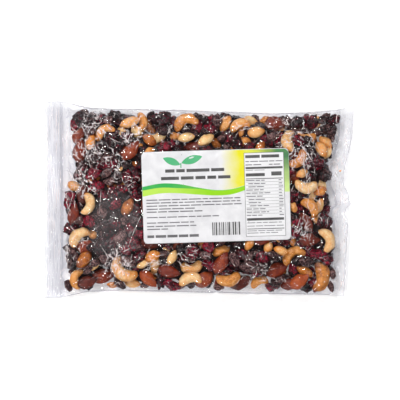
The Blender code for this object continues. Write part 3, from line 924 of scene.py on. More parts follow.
# reach along both directions of the grid, and how stiffly the links pull and push
LINKS = (
    (1, 0, 1, 1), (0, 1, 1, 1), (1, 1, 0.5, 0.5), (1, -1, 0.5, 0.5), (2, 0, 0, 0.18), (0, 2, 0, 0.18))
ROUNDS = 3  # of pulling, after each step of sinking


def drape(rest, pinned, extra, limit, side, steps, sink):
    """The film after it has sunk onto the heap. side is 1 for the upper film and -1 for the lower one."""
    links = []
    for reach_i, reach_j, pull, push in LINKS:
        links += link_groups(rest, reach_i, reach_j, extra, pull, push)
    sheet = rest.astype(np.float32)
    held = sheet[pinned].copy()
    for step in range(steps):
        sheet[..., 2] -= side * sink * (1 - step / steps)
        for _ in range(ROUNDS):
            for a, b, length, pull, push in links:
                across = sheet[b] - sheet[a]
                distance = np.sqrt(np.einsum("ijk,ijk->ij", across, across))
                off = (distance - length) / np.maximum(distance, 1e-7)
                off *= np.where(off > 0, pull / 2, push / 2)
                across *= off[..., None]
                sheet[a] += across
                sheet[b] -= across
            sheet[pinned] = held
        bound = sample(limit, sheet[..., 0], sheet[..., 1])
        sheet[..., 2] = side * np.maximum(side * sheet[..., 2], side * bound)
        sheet[pinned] = held
    return sheet.astype(float)


def random_field(shape, length, amount):
    """A smooth random field on the film's grid, with waves of about this length in metres."""
    i, j = np.indices(shape) * FILM_STEP
    total = np.zeros(shape)
    for _ in range(7):
        angle, phase = draw.uniform(0, 2 * np.pi, 2)
        wave = 2 * np.pi / length * draw.uniform(0.7, 1.4)
        total += np.cos(wave * (i * np.cos(angle) + j * np.sin(angle)) + phase)
    return amount * total / 7


EXTRA_LENGTH = (0.006, 0.02, 0.002)  # share of a link's length: on average, its spread, and the least
WAVES_AT_START = (8 * MM, 0.35 * MM)  # length and height of the ripples that the film starts with
SINK = (0.09 * MM, 0.03 * MM)  # per step, of the upper and of the lower film
rows, columns = upper_rest.shape[:2]
in_seal = (stations()[0] <= INNER_LEFT + 1e-6) | (stations()[0] >= INNER_RIGHT - 1e-6)
edge = np.zeros((rows, columns), bool)
edge[in_seal] = True
edge[:, [0, -1]] = True
rest_x, rest_y = upper_rest[..., 0], upper_rest[..., 1]
under_label = beside_label(rest_x, rest_y) < -1 * MM
extra = EXTRA_LENGTH[0] + random_field((rows, columns), 30 * MM, EXTRA_LENGTH[1])
extra = np.maximum(EXTRA_LENGTH[2], extra)
upper_start = upper_rest.copy()
upper_start[..., 2] += np.where(edge, 0, random_field((rows, columns), *WAVES_AT_START))
upper_start[..., 2] = np.where(under_label, sample(label_bed, rest_x, rest_y), upper_start[..., 2])
steps = 110
upper_film = drape(upper_start, edge | under_label, extra, heap_top, 1, steps, SINK[0])
lower_film = drape(lower_rest, edge, extra * 0.5, np.maximum(0, heap_under), -1, steps // 2, SINK[1])
lower_film[..., 2] = np.maximum(lower_film[..., 2], FILM_LOW)
hang = upper_film[..., 2] - sample(heap_top, upper_film[..., 0], upper_film[..., 1])
print("film hangs over the filling by up to, in mm:", round(float(hang.max()) / MM, 1))

# %% [markdown]
# ## Creases
# A bag that has been handled is full of sharp creases that the draping is too coarse for. They run in
# bundles: each bundle has a place, a direction and a number of creases, read off the photograph, and each
# crease is a low narrow ridge. A few long folds are given as lines of points. Short marks of no height lie
# along the ribs of the left seal, and only the white lines further down show them, as painted glints of the
# ribs. The film gets twice as many points each way first.

# %% Bundles of creases and long folds
# x, y, radius in mm; direction and its spread in degrees; how many; mean length in mm
BUNDLES = [
    (-95, 67, 16, 35, 40, 44, 13), (-103, 46, 14, -50, 30, 40, 12), (-83, 37, 16, -20, 30, 40, 13),
    (-62, 62, 15, 60, 30, 34, 12), (-106, 14, 14, 70, 35, 34, 12), (-76, -60, 14, 75, 35, 76, 11),
    (-72, -47, 7, 60, 30, 9, 9), (-46, -58, 16, 10, 30, 24, 14), (-13, -51, 20, -15, 25, 20, 14),
    (58, -63, 18, 20, 30, 32, 14), (90, -30, 12, 85, 25, 40, 12), (93, 9, 12, 80, 25, 22, 14),
    (91, 44, 20, 110, 35, 52, 13), (74, 66, 16, 20, 30, 30, 13), (111, -14, 14, 100, 25, 14, 18),
    (106, -58, 14, 45, 30, 12, 13), (28, 69, 20, 10, 30, 26, 15), (-23, 64, 20, 30, 30, 28, 13),
    (70, 82, 22, -3, 10, 12, 22), (-110, -40, 12, 80, 30, 16, 14),
    (20, -75, 26, 5, 20, 9, 18), (-100, -72, 14, 10, 35, 9, 13), (128, 30, 12, 95, 30, 9, 16),
    (134, -40, 8, 90, 8, 16, 34), (131, 5, 9, 88, 10, 16, 26), (136, 60, 9, 91, 8, 18, 34),
    (135, -72, 8, 93, 8, 14, 28), (126, 30, 8, 88, 12, 12, 30), (-121, 0, 8, 92, 10, 12, 30),
    (-121, 55, 9, 87, 12, 12, 26), (-121, -50, 8, 90, 10, 12, 28),
]
# x and y of points along each fold, in mm
FOLDS = [
    [(-53, -14), (-57, -22), (-62, -34), (-66, -46)], [(-117, 25), (-102, 11), (-92, 4)],
    [(-90, 10), (-91, -2), (-92, -14)], [(88, 50), (92, 40), (97, 27), (99, 14), (101, -2)],
    [(97, 65), (105, 54), (113, 39)], [(93, 44), (100, 30), (98, 18)], [(70, 58), (86, 62), (97, 60)],
    [(-92, -40), (-84, -52), (-80, -70)], [(-88, 60), (-74, 52), (-58, 55)],
    [(40, -58), (58, -66), (74, -62)], [(118, 60), (126, 20), (124, -20), (128, -60)],
]
CREASE_WIDTH = (0.8, 1.3)  # mm, to where a ridge has fallen to about a third
CREASE_STEEP = (0.45, 0.8)  # height over width
CREASE_STEP = 1.0  # mm, from point to point
KINK = math.radians(62)  # a crease turns about this much at a kink
KINK_CHANCE = 0.45
WILD_SPREAD = 30  # degrees, from which a bundle's creases kink fully
BRANCHING = 0.55  # share of creases that start on another one
FOLD_WIDTH = 1.2  # mm
FOLD_HEIGHT = 0.9  # mm
FOLD_POINTS = 50
FOLD_ROUND = 6  # points on either side that a fold's corners are rounded over
# Marks of no height whose white ribbons are painted glints of the left seal's ribs.
SEAL_MARKS = 5  # along each rib of the left seal
SEAL_MARK_POINTS = 13
SEAL_MARK_WIDTH = 0.6  # mm
FADE_TO_LABEL = 3 * MM  # where the creases get lower
FADE_TO_RIM = 5 * MM


def doubled(sheet):
    """The sheet with a new point between each two, on a smooth curve through the old ones."""
    for axis in (0, 1):
        grid = np.moveaxis(sheet, axis, 0)
        wide = np.concatenate([grid[:1], grid, grid[-1:]])
        middle = (9 * (wide[1:-2] + wide[2:-1]) - wide[:-3] - wide[3:]) / 16
        finer = np.empty((2 * len(grid) - 1, *grid.shape[1:]))
        finer[0::2], finer[1::2] = grid, middle
        sheet = np.moveaxis(finer, 0, axis)
    return sheet


def wander(angle, steps, kink):
    """A path from (0, 0) in mm that keeps to this angle on the whole, with sharp turns."""
    kinks = draw.normal(0, kink, steps) * (draw.random(steps) < KINK_CHANCE)
    heading = angle + np.cumsum(kinks) + draw.normal(0, 0.12, steps)
    heading -= heading.mean() - angle
    return np.cumsum(np.stack([np.cos(heading), np.sin(heading)], 1) * CREASE_STEP, 0)


def crease_lines():
    """Lines of points in mm, the ridge's width and height, and whether it is broken, for all of them."""
    lines = []
    for cx, cy, radius, direction, spread_of, count, mean_length in BUNDLES:
        own = []
        wild = min(1, spread_of / WILD_SPREAD)
        for _ in range(count):
            angle = math.radians(draw.normal(direction, spread_of / 1.5))
            steps = max(5, round(mean_length * draw.uniform(0.35, 1.4) / CREASE_STEP))
            path = wander(angle, steps, KINK * wild)
            if own and draw.random() < BRANCHING * wild:
                other = own[draw.integers(len(own))]
                line = path + other[draw.integers(len(other))]
            else:
                line = path - path.mean(0) + draw.normal((cx, cy), radius / 2)
            own.append(line)
            width = draw.uniform(*CREASE_WIDTH)
            lines.append((line, width, width * draw.uniform(*CREASE_STEEP), True))
    for fold in FOLDS:
        corners = np.array(fold, float)
        share = np.linspace(0, len(corners) - 1, FOLD_POINTS)
        mean = np.ones(2 * FOLD_ROUND + 1) / (2 * FOLD_ROUND + 1)
        line = [np.interp(share, range(len(corners)), part) for part in corners.T]
        line = [np.convolve(np.pad(part, FOLD_ROUND, mode="edge"), mean, "valid") for part in line]
        lines.append((np.stack(line, 1), FOLD_WIDTH, FOLD_HEIGHT, False))
    # Painted glints of the seal's ribs: flat marks that show only as white lines.
    for x in np.arange(-HALF_LENGTH, INNER_LEFT, RIB_PITCH) / MM + 0.5:
        for _ in range(SEAL_MARKS):
            middle, half = draw.uniform(-85, 85), draw.uniform(8, 30)
            y = np.linspace(max(-88, middle - half), min(88, middle + half), SEAL_MARK_POINTS)
            lines.append((np.stack([np.full(len(y), x), y], 1), SEAL_MARK_WIDTH, 0.0, True))
    return lines


def crease_heights(lines, x, y):
    """Height of all creases and folds at these places, in mm as x and y are."""
    total = np.zeros(x.shape)
    for line, width, height, _ in lines:
        low, high = line.min(0) - 3, line.max(0) + 3
        near = np.nonzero((x > low[0]) & (x < high[0]) & (y > low[1]) & (y < high[1]))
        fade = np.sin(np.pi * np.linspace(0.03, 0.97, len(line))) ** 0.5
        far = (x[near][:, None] - line[:, 0]) ** 2 + (y[near][:, None] - line[:, 1]) ** 2
        ridge = (height * fade * np.exp(-far / width**2)).max(1)
        total[near] = np.maximum(total[near], ridge)
    return total


fine_upper = doubled(upper_film)
fine_x, fine_y = fine_upper[..., 0], fine_upper[..., 1]
allowed = smooth_step(0, FADE_TO_LABEL, beside_label(fine_x, fine_y))
allowed *= smooth_step(0, FADE_TO_RIM, inside_edges(fine_x, fine_y))
allowed *= smooth_step(0, FADE_TO_RIM, fine_x - INNER_LEFT)
allowed[-1] = 0
creases = crease_lines()
fine_upper[..., 2] += allowed * crease_heights(creases, fine_x / MM, fine_y / MM) * MM
over_heap = np.maximum(fine_upper[..., 2], sample(heap_top, fine_x, fine_y))
fine_upper[..., 2] = np.where(allowed > 0.5, over_heap, fine_upper[..., 2])

# %% [markdown]
# The two sheets meet along their rim. The lower one has half as many points each way, so each of its rim
# points takes the place of every second one of the upper rim.

# %% Sew the two sheets together
upper_index = np.arange(fine_upper[..., 0].size).reshape(fine_upper.shape[:2])
lower_index = np.arange(rows * columns).reshape(rows, columns) + upper_index.size
for part in ((0, slice(None)), (-1, slice(None)), (slice(None), 0), (slice(None), -1)):
    lower_film[part] = fine_upper[::2, ::2][part]
skin_points = np.concatenate([fine_upper.reshape(-1, 3), lower_film.reshape(-1, 3)])
skin_faces = np.concatenate([grid_faces(upper_index), grid_faces(lower_index)[:, ::-1]])
print("sewn film:", len(skin_faces), "quads")

# %% [markdown]
# ## Clear film
# Cast polypropylene is clear and glossy, with an index of about 1.49. A skin with no thickness can't
# refract, so a transparent shader is mixed with a glossy one. Two percent of the light is reflected where
# the film is seen straight on, and half of it at a grazing angle, with the fifth power of Schlick's formula
# between them. White haze is nearly absent from the plain film and a few percent in some listed places,
# where the film is a little whiter. White is strong on the crests of the crinkles: partly stress whitening,
# where the film was bent most, and partly painted glints.
#
# Four attributes of the film's points steer it. crumple is 1 in the places with the most creases, slack is 1
# everywhere but on the welds, milky is 1 in the places where the film is a little whiter, and streaks is high
# on the welds, where the ribs draw the light out into streaks.

# %% Film material
RIDGE = 0.6  # mm, half of a ridge's width
RIDGE_SLOPE = 0.46
CRINKLES = ((4.6, 1.6, 60), (9, 4, -35), (12, 4, 15))  # facet in mm, stretch, and angle in degrees
WIDE_SHARE = 0.6  # strength of the wider two, which lie outside the crumpled places too
# The whitened crests are partly stress whitening and partly painted glints.
WIDE_WHITE = 0.25  # and of their whitened crests
ZONE = 26  # mm, size of the patches that have them
ZONE_EDGE = (0.47, 0.55)  # of the noise that makes these patches
BROKEN = (0.5, 0.55)  # of the noise that breaks the whitened crests
STREAK = 1.7  # mm, from one streak to the next, and their height
MILK = 0.055  # how white the film is in the places listed below, where it lies flat on the fruit
MIRROR = (0.02, 0.5)  # share of mirrored light, seen straight on and at a grazing angle
WHITER_PLACES = [(-77, -22, 26, 34), (-84, -30, 22, 26)]  # x, y and half sizes of such places, in mm


def crinkles(tree, place, cell, stretch, angle, share, below):
    """Sharp little ridges between facets of this size in mm, stretched along one direction.

    Gives the bumped normal, and the white on the ridge's crest: partly stress whitening, partly a painted
    glint.
    """
    swirl = noise(tree, place, 1.5 * cell, 2.0)["Color"]
    inputs = {0: swirl, 1: (1.2 * cell * MM,) * 3, 2: place}
    pushed = add(tree, "VectorMath", inputs, operation="MULTIPLY_ADD").outputs[0]
    rotation, scale = (0, 0, math.radians(angle)), (1 / stretch, 1, 1)
    turned_place = add(tree, "Mapping", {"Vector": pushed, "Rotation": rotation}).outputs["Vector"]
    long_place = add(tree, "Mapping", {"Vector": turned_place, "Scale": scale}).outputs["Vector"]
    inputs = {"Vector": long_place, "Scale": 1 / (cell * MM)}
    facets = add(tree, "TexVoronoi", inputs, feature="DISTANCE_TO_EDGE").outputs["Distance"]
    flank = remap(tree, facets, 0.0, RIDGE / cell)
    bump = bumped(tree, flank, RIDGE * RIDGE_SLOPE * MM, share, below, invert=True)
    lively = remap(tree, noise(tree, place, 0.8 * cell, 2.0)["Fac"], *BROKEN)
    crest = remap(tree, flank, 0.5, 0.3)
    shown = figure(tree, "MULTIPLY", crest, lively)
    return bump, figure(tree, "MULTIPLY", shown, share)


def clear_film():
    made, tree, surface = new_material("clear cast polypropylene film")
    tree.nodes.remove(surface)
    place = object_place(tree)
    crumple, slack, milky, streaks = (
        add(tree, "Attribute", attribute_name=name).outputs["Fac"] for name in film_attributes)
    zone = add(tree, "SeparateXYZ", {0: noise(tree, place, ZONE, 2.0)["Color"]}).outputs
    drawn_out = add(tree, "Mapping", {"Vector": place, "Scale": (1, 0.05, 1)}).outputs["Vector"]
    bump = bumped(tree, noise(tree, drawn_out, STREAK, 2.0)["Fac"], STREAK * MM, streaks)
    white = 0.0
    for k, (cell, stretch, angle) in enumerate(CRINKLES):
        share = crumple
        if k:
            here = remap(tree, zone[k], *ZONE_EDGE)
            share = figure(tree, "MULTIPLY", figure(tree, "MULTIPLY", here, slack), WIDE_SHARE)
        bump, ridge = crinkles(tree, place, cell, stretch, angle, share, bump)
        if k:
            ridge = figure(tree, "MULTIPLY", ridge, WIDE_WHITE)
        white = figure(tree, "MAXIMUM", white, ridge)
    facing = add(tree, "LayerWeight", {"Blend": 0.5, "Normal": bump}).outputs["Facing"]
    mirror = remap(tree, figure(tree, "POWER", facing, 5.0), 0.0, 1.0, *MIRROR)
    path = add(tree, "ValToRGB", {"Fac": facing}, stops=[
        (0, "FEFEFE"), (0.06, "FDFDFE"), (0.3, "E9E9EC"), (1, "E0E0E4")]).outputs["Color"]
    welded = add(tree, "Mix", {0: streaks, 6: path, 7: linear("F6F6F7")}, data_type="RGBA",
                 blend_type="MULTIPLY").outputs[2]
    through = add(tree, "BsdfTransparent", {"Color": welded}).outputs[0]
    # This white is the film's haze in a few places and, on the crinkles' crests, partly stress whitening and
    # partly painted glints, with a warm tint.
    haze_and_glint_white = add(tree, "BsdfDiffuse", {"Color": linear("F6ECEE")}).outputs[0]
    gloss = add(tree, "BsdfGlossy", {"Color": linear("FFFFFF"), "Roughness": 0.05, "Normal": bump})
    haze_and_glint = remap(tree, figure(tree, "MULTIPLY_ADD", milky, MILK, white), 0.0, 1.0, 0.002, 0.8)
    hazed_and_glinting = add(tree, "MixShader", {0: haze_and_glint, 1: through, 2: haze_and_glint_white}).outputs[0]
    mixed = add(tree, "MixShader", {0: mirror, 1: hazed_and_glinting, 2: gloss.outputs[0]}).outputs[0]
    tree.links.new(mixed, tree.nodes["Material Output"].inputs["Surface"])
    return made


# %% Film and its attributes
CRUMPLED_FROM = 34  # creases in a bundle, from which the place counts as crumpled
skin_x, skin_y = skin_points[:, 0], skin_points[:, 1]
crumple, milky = np.zeros(len(skin_points)), np.zeros(len(skin_points))
for x, y, radius, _, _, count, _ in BUNDLES:
    if count >= CRUMPLED_FROM:
        far = np.hypot(skin_x / MM - x, skin_y / MM - y)
        crumple = np.maximum(crumple, 1 - smooth_step(radius * 0.6, radius * 1.1, far))
# The film is made a little whiter in these listed places.
for x, y, half_x, half_y in WHITER_PLACES:
    far = np.hypot((skin_x / MM - x) / half_x, (skin_y / MM - y) / half_y)
    milky = np.maximum(milky, 1 - smooth_step(0.6, 1.1, far))
slack = smooth_step(0, 6 * MM, skin_x - INNER_LEFT) * smooth_step(-4 * MM, 6 * MM, INNER_RIGHT - skin_x)
streaks = smooth_step(-6 * MM, 0, INNER_LEFT - skin_x) + 0.6 * smooth_step(118 * MM, 128 * MM, skin_x)
film_attributes = {"crumple": crumple * slack, "slack": slack, "milky": milky, "streaks": streaks}
film = mesh_object("film", skin_points, skin_faces, material=clear_film())
for name, values in film_attributes.items():
    film.data.attributes.new(name, "FLOAT", "POINT").data.foreach_set("value", values.astype(np.float32))
print("film:", len(skin_points), "points,", len(skin_faces), "faces")

# %% [markdown]
# Clear film is only seen clearly at its cut or folded edge, where the eye looks through much more plastic.
# A narrow greyish strip along the rim stands for that.

# %% Film edge
EDGE_WIDTH = 0.7 * MM
EDGE_LIFT = 0.12 * MM  # of the strip's inner side, so that it lies on the film
rims = [fine_upper[:, 0], fine_upper[-1], fine_upper[::-1, -1], fine_upper[0, ::-1]]
outer_rim = np.concatenate([rim_part[:-1] for rim_part in rims])
ahead = np.roll(outer_rim, -2, 0) - np.roll(outer_rim, 2, 0)
inward = np.stack([-ahead[:, 1], ahead[:, 0], 0 * ahead[:, 0]], 1)
inward /= np.linalg.norm(inward, axis=1)[:, None]
inner_rim = outer_rim + inward * EDGE_WIDTH + [0, 0, EDGE_LIFT]
around = np.arange(len(outer_rim))
onward = np.roll(around, -1)
edge_faces = np.stack([around, onward, onward + len(around), around + len(around)], 1)
edge_plastic = new_material("cut edge of film", {
    "Base Color": linear("C4C4C8"), "Roughness": 0.3, "IOR": 1.49, "Alpha": 0.35})[0]
edge_points = np.concatenate([outer_rim, inner_rim])
film_edge = mesh_object("film_edge", edge_points, edge_faces, material=edge_plastic)
print("film edge:", len(edge_faces), "faces")

# %% [markdown]
# A sharp crease whitens the film where it was bent most, and it catches the light as a glint. Along each
# crease lies a hair-thin white line, a narrow ribbon on top of the film: partly that whitening and partly a
# painted glint. A crease shows only where it turns into the light, so its ribbon swells and stops at random,
# and a noise makes patches of the ribbons faint.

# %% Crease lines: whitening and painted glints
LINE_WIDTH = (0.25, 0.5)  # mm, of a line where it is widest
THINNEST = 0.04  # mm, half of the width at which a ribbon stops
OFF_LABEL = 0.5 * MM
OFF_EDGES = 2 * MM  # from the long edges
OFF_ENDS = 1 * MM
RIBBON_LIFT = 0.08 * MM
film_top = spread(highest(fine_upper.reshape(-1, 3), 0.0), 1) + RIBBON_LIFT


def crease_ribbons():
    """Points and quads of a ribbon along each crease, and none on the label or past the film's edges."""
    points, faces = [], []
    count = 0
    for line, _, _, broken in creases:
        steps = len(line)
        forward = np.gradient(line, axis=0)
        sideways = np.stack([-forward[:, 1], forward[:, 0]], 1) / np.linalg.norm(forward, axis=1)[:, None]
        beat = np.cos(np.cumsum(draw.normal(0.4, 0.3, steps)) + draw.uniform(0, 6.3))
        taper = np.sin(np.pi * np.linspace(0, 1, steps)) ** 0.5
        half = draw.uniform(*LINE_WIDTH) / 2 * taper * (np.clip(0.8 + beat, 0, 1) if broken else 1)
        right, left = line - sideways * half[:, None], line + sideways * half[:, None]
        for k in range(steps - 1):
            if half[k] + half[k + 1] < 2 * THINNEST:
                continue
            corners = np.stack([right[k], right[k + 1], left[k + 1], left[k]]) * MM
            points.append(np.column_stack([corners, sample(film_top, corners[:, 0], corners[:, 1])]))
            faces.append(np.arange(4) + count)
            count += 4
    points, faces = np.concatenate(points), np.array(faces)
    x, y = points[:, 0], points[:, 1]
    shown = (beside_label(x, y) > OFF_LABEL) & (inside_edges(x, y) > OFF_EDGES)
    shown &= (x < curve_through(RIGHT_EDGE, y) - OFF_ENDS) & (x > OFF_ENDS - HALF_LENGTH)
    used, again = np.unique(faces[shown[faces].all(1)], return_inverse=True)
    return points[used], again.reshape(-1, 4)


# The ribbons' warm white is partly stress whitening and partly painted glints.
whitened, tree, surface = new_material("film whitening and painted crease glints", {
    "Base Color": linear("FFF2F0"), "Roughness": 0.25, "IOR": 1.49})
patches = noise(tree, object_place(tree), 4, 2.0)["Fac"]
tree.links.new(remap(tree, patches, 0.36, 0.56, 0.1, 1.0), surface.inputs["Alpha"])
crease_marks = mesh_object("film_crease_lines", *crease_ribbons(), material=whitened)
print("crease lines:", len(creases), "faces:", len(crease_marks.data.polygons))

# %% [markdown]
# ## Back seam and a crumb
# A pillow bag is a flat web of film folded to a tube, so a welded seam runs down its back. It lies flat
# under the bag, with lower ribs than the ends have. On the right seal one crumb of nut has stuck.

# %% Back seam and crumb
SEAM_WIDTH = 11 * MM
SEAM_LEVEL = 0.12 * MM
SEAM_RIB = 0.05 * MM
SEAM_SETBACK = 2 * MM
CRUMB = (129.6 * MM, 26.4 * MM)
CRUMB_SIZE = (2.0, 1.6, 1.2)  # mm
CRUMB_RINGS = (8, 8)
seam_x = np.arange(-HALF_LENGTH + SEAM_SETBACK, INNER_RIGHT, RIB_PITCH / 2)
seam_points = np.zeros((len(seam_x), 5, 3))
seam_points[..., 0] = seam_x[:, None]
seam_points[..., 1] = np.linspace(0, SEAM_WIDTH, 5)
seam_points[..., 2] = SEAM_LEVEL + SEAM_RIB * np.cos(np.pi * np.arange(len(seam_x)))[:, None]
seam_points = seam_points[np.abs(seam_x) < HALF_LENGTH - LEFT_SEAL - 6 * MM]
seam_faces = grid_faces(np.arange(seam_points[..., 0].size).reshape(seam_points.shape[:2]))
seam = mesh_object("back_seam", seam_points.reshape(-1, 3), seam_faces, material=film.data.materials[0])

t, turn_of = ring_places(*CRUMB_RINGS)
crumb_points = straight(t, turn_of, CRUMB_SIZE, np.sin(np.pi * t) ** 0.6)
crumb_points += 0.25 * waves(crumb_points, 2, 3)[:, None]
nearest = np.argmin(np.hypot(fine_x - CRUMB[0], fine_y - CRUMB[1]))
crumb_level = fine_upper[..., 2].ravel()[nearest]
crumb_place = [*CRUMB, crumb_level + CRUMB_SIZE[2] / 2 * MM]
crumb = mesh_object("crumb", crumb_points * MM + crumb_place, *ring_skin(*CRUMB_RINGS), oil_roasted_peanut)
print("crumb at height in mm:", round(float(crumb_level) / MM, 1))

# %% [markdown]
# ## The label
# The sticker is coated paper, a tenth of a millimetre thick, with rounded corners. Its grid lies on the
# bed that the film was given there, and the print is laid on it as thin shapes of ink.

# %% Label sheet
UNDER_PAPER = 0.15 * MM  # from the film to the paper
PAPER_GRID = (125, 79)


def label_height(u, v):
    """The top of the paper at this place of the label."""
    x, y = from_label(u, v)
    return sample(label_bed, x, y) + UNDER_PAPER + PAPER


def rounded(u, v):
    """Moves the points of a square grid so that its corners come out round."""
    half_u, half_v = LABEL_SIZE[0] / 2, LABEL_SIZE[1] / 2
    over_u, over_v = np.abs(u) - (half_u - LABEL_CORNER), np.abs(v) - (half_v - LABEL_CORNER)
    corner = (over_u > 0) & (over_v > 0)
    share = np.maximum(over_u, over_v) / np.maximum(np.hypot(over_u, over_v), 1e-9)
    u = np.where(corner, np.sign(u) * (half_u - LABEL_CORNER + over_u * share), u)
    v = np.where(corner, np.sign(v) * (half_v - LABEL_CORNER + over_v * share), v)
    return u, v


def on_paper(u, v, lift=0.0):
    """Points on the paper at these places of the label, raised by the lift. All in metres."""
    x, y = from_label(u, v)
    return np.stack([x, y, label_height(u, v) + lift], -1)


def paper_material():
    made, tree, surface = new_material("coated label paper", {"Roughness": 0.28, "IOR": 1.5})
    fine = noise(tree, object_place(tree), 9, 3.0, Distortion=0.4)["Fac"]
    # The noise that waves the paper also paints it lighter on the crests and darker in the hollows: painted
    # light and shade.
    ramp = add(tree, "ValToRGB", {"Fac": fine}, stops=[(0.3, "D8D7DA"), (0.7, "E8E7E9")])
    feed(tree, surface, {"Base Color": ramp.outputs["Color"], "Normal": bumped(tree, fine, 0.7 * MM)})
    return made


even_u, even_v = (np.linspace(-0.5, 0.5, count) * size for count, size in zip(PAPER_GRID, LABEL_SIZE))
paper_u, paper_v = rounded(*np.meshgrid(even_u, even_v, indexing="ij"))
top = on_paper(paper_u, paper_v)
top_index = np.arange(top[..., 0].size).reshape(top.shape[:2])
loop = np.concatenate([top_index[:-1, 0], top_index[-1, :-1], top_index[:0:-1, -1], top_index[0, :0:-1]])
under = top_index.size
sides = np.stack([loop, loop + under, np.roll(loop, -1) + under, np.roll(loop, -1)], -1)
paper_points = np.concatenate([top.reshape(-1, 3), (top - [0, 0, PAPER]).reshape(-1, 3)])
paper_faces = np.concatenate([grid_faces(top_index), grid_faces(top_index + under)[:, ::-1], sides])
label = mesh_object("label_paper", paper_points, paper_faces, material=paper_material())
print("label:", len(paper_faces), "faces")

# %% [markdown]
# ## Print
# The label's ink is laid on the paper as thin shapes: fields and bands of colour, rules and plain bars. Each
# shape is a small grid that follows the paper. Inks are flexographic: thin, even and a little duller than
# the coated paper.

# %% Inks and shapes
INK = 0.03 * MM  # from the paper to a field of ink
OVER_FIELDS = 3 * INK
ON_PANEL = (1.6 * INK, 2.6 * INK, 4.6 * INK)  # the white panel, its rules, and the rows on it
INK_STEP = 1.2 * MM
INK_NOISE = 0.12  # patches of thinner ink, per mm of the label


def ink_material(name, code, faded=None, from_u=0, to_u=1):
    """A flat ink. It may fade to another colour along the label, from one u to another, in mm."""
    made, tree, surface = new_material(name, {"Roughness": 0.5, "IOR": 1.5})
    place = add(tree, "UVMap", uv_map="place").outputs["UV"]
    fine = add(tree, "TexNoise", {"Vector": place, "Scale": INK_NOISE, "Detail": 4.0}).outputs["Fac"]
    if faded:
        share = remap(tree, add(tree, "SeparateXYZ", {0: place}).outputs[0], from_u, to_u)
        even = figure(tree, "SUBTRACT", figure(tree, "MULTIPLY_ADD", fine, 0.5, share), 0.25)
        colour = add(tree, "ValToRGB", {"Fac": even}, stops=[(0.0, code), (1.0, faded)]).outputs["Color"]
    else:
        worn = remap(tree, fine, 0.0, 1.0, 0.0, 0.14)
        inputs = {0: worn, 6: linear(code), 7: linear("FFFFFF")}
        colour = add(tree, "Mix", inputs, data_type="RGBA").outputs[2]
    tree.links.new(colour, surface.inputs["Base Color"])
    return made


def strip(u_points, low, high, lift):
    """A strip of the label from low(u) to high(u), as a grid on the paper. All in mm."""
    steps = max(1, round(float(np.max(np.abs(high - low))) * MM / INK_STEP))
    share = np.linspace(0, 1, steps + 1)
    u = np.repeat(u_points[:, None], steps + 1, 1)
    v = low[:, None] + (high - low)[:, None] * share
    return on_paper(u * MM, v * MM, lift), np.stack([u, v], -1)


def bar(u0, u1, v0, v1, lift=INK):
    """A straight bar with these sides, in mm."""
    count = max(1, round((u1 - u0) * MM / INK_STEP))
    u = np.linspace(u0, u1, count + 1)
    return strip(u, np.full(len(u), v0), np.full(len(u), v1), lift)


def ink(name, shapes, material):
    """One printed piece from several grids on the paper."""
    points, faces, corners = [], [], []
    count = 0
    for place, uv in shapes:
        quads = grid_faces(np.arange(place[..., 0].size).reshape(place.shape[:2]))
        points.append(place.reshape(-1, 3))
        faces.append(quads + count)
        corners.append(uv.reshape(-1, 2)[quads])
        count += place[..., 0].size
    arrays = (np.concatenate(parts) for parts in (points, faces, corners))
    printed.append(mesh_object(name, *arrays, material))


printed = []

# %% [markdown]
# A green band over a lime one sweeps across the label up to a white panel. Above it a yellow field fades in
# from the left, and green runs along the label's top and down its right edge.

# %% Bands and fields
PANEL = (26.3, 62.8, -38.2, 38.6)  # left, right, bottom and top of the white panel, in mm
LABEL_HALF = (67.3, 41.8)
BAND_TOP = [(-67.3, 10.2), (-50, 12.8), (-34, 11.8), (-18, 8.4), (0, 5.4), (14, 5.8), (27, 9.0), (40, 14)]
BAND_SPLIT = [(-67.3, 6.8), (-50, 9.0), (-34, 8.0), (-18, 6.9), (0, 4.6), (14, 5.0), (27, 8.2), (40, 13)]
BAND_LOW = [(-67.3, 1.2), (-50, 3.8), (-34, 3.4), (-18, 1.8), (0, 0.4), (14, 1.0), (27, 4.6), (40, 9)]
EDGE_OF_INK = LABEL_HALF[1] - 0.4
band_u = np.linspace(-LABEL_HALF[0], PANEL[0], 80)
band_top, band_split, band_low = (
    curve_through(points, band_u * MM) / MM for points in (BAND_TOP, BAND_SPLIT, BAND_LOW))
field_u = np.linspace(3, PANEL[0], 20)
field_low = curve_through(BAND_TOP, field_u * MM) / MM + 0.2
over = np.linspace(PANEL[0], LABEL_HALF[0], 36)
over_top = EDGE_OF_INK - np.maximum(0, over - 63.3) ** 2 * 0.22
# u of the points, bottom and top of the strip, its ink, and its two colours with the u where each is full
FIELDS = {
    "green_band": (band_u, band_split, band_top, "green ink", "2FA84C", "86CE3A", -40, 5),
    "lime_band": (band_u, band_low, band_split, "lime ink", "B4DD50", "8FD000", -40, -5),
    "yellow_field": (field_u, field_low, 0 * field_u + EDGE_OF_INK, "yellow ink", "E2E1E2", "E3DC14", 5, 22),
    "green_top": (over, 0 * over + PANEL[3], over_top, "green top", "DDE04A", "3F7D4C", 30, 58),
}
for name, (u_points, low, high, *finish) in FIELDS.items():
    ink("print_" + name, [strip(u_points, low, high, INK)], ink_material(*finish))
side_v = np.linspace(2, PANEL[3], 34)
side_u = [PANEL[1], 65, LABEL_HALF[0]]
side_points = on_paper(*(part * MM for part in np.meshgrid(side_u, side_v, indexing="ij")), INK)
# the colour fades along v here, so v takes the place of u
side_uv = np.stack(np.meshgrid([0, 1, 2], -side_v, indexing="ij")[::-1], -1)
ink("print_green_side", [(side_points, side_uv)], ink_material("green side", "3C7446", "C9E28A", -34, -6))
print("bands and fields:", len(printed))

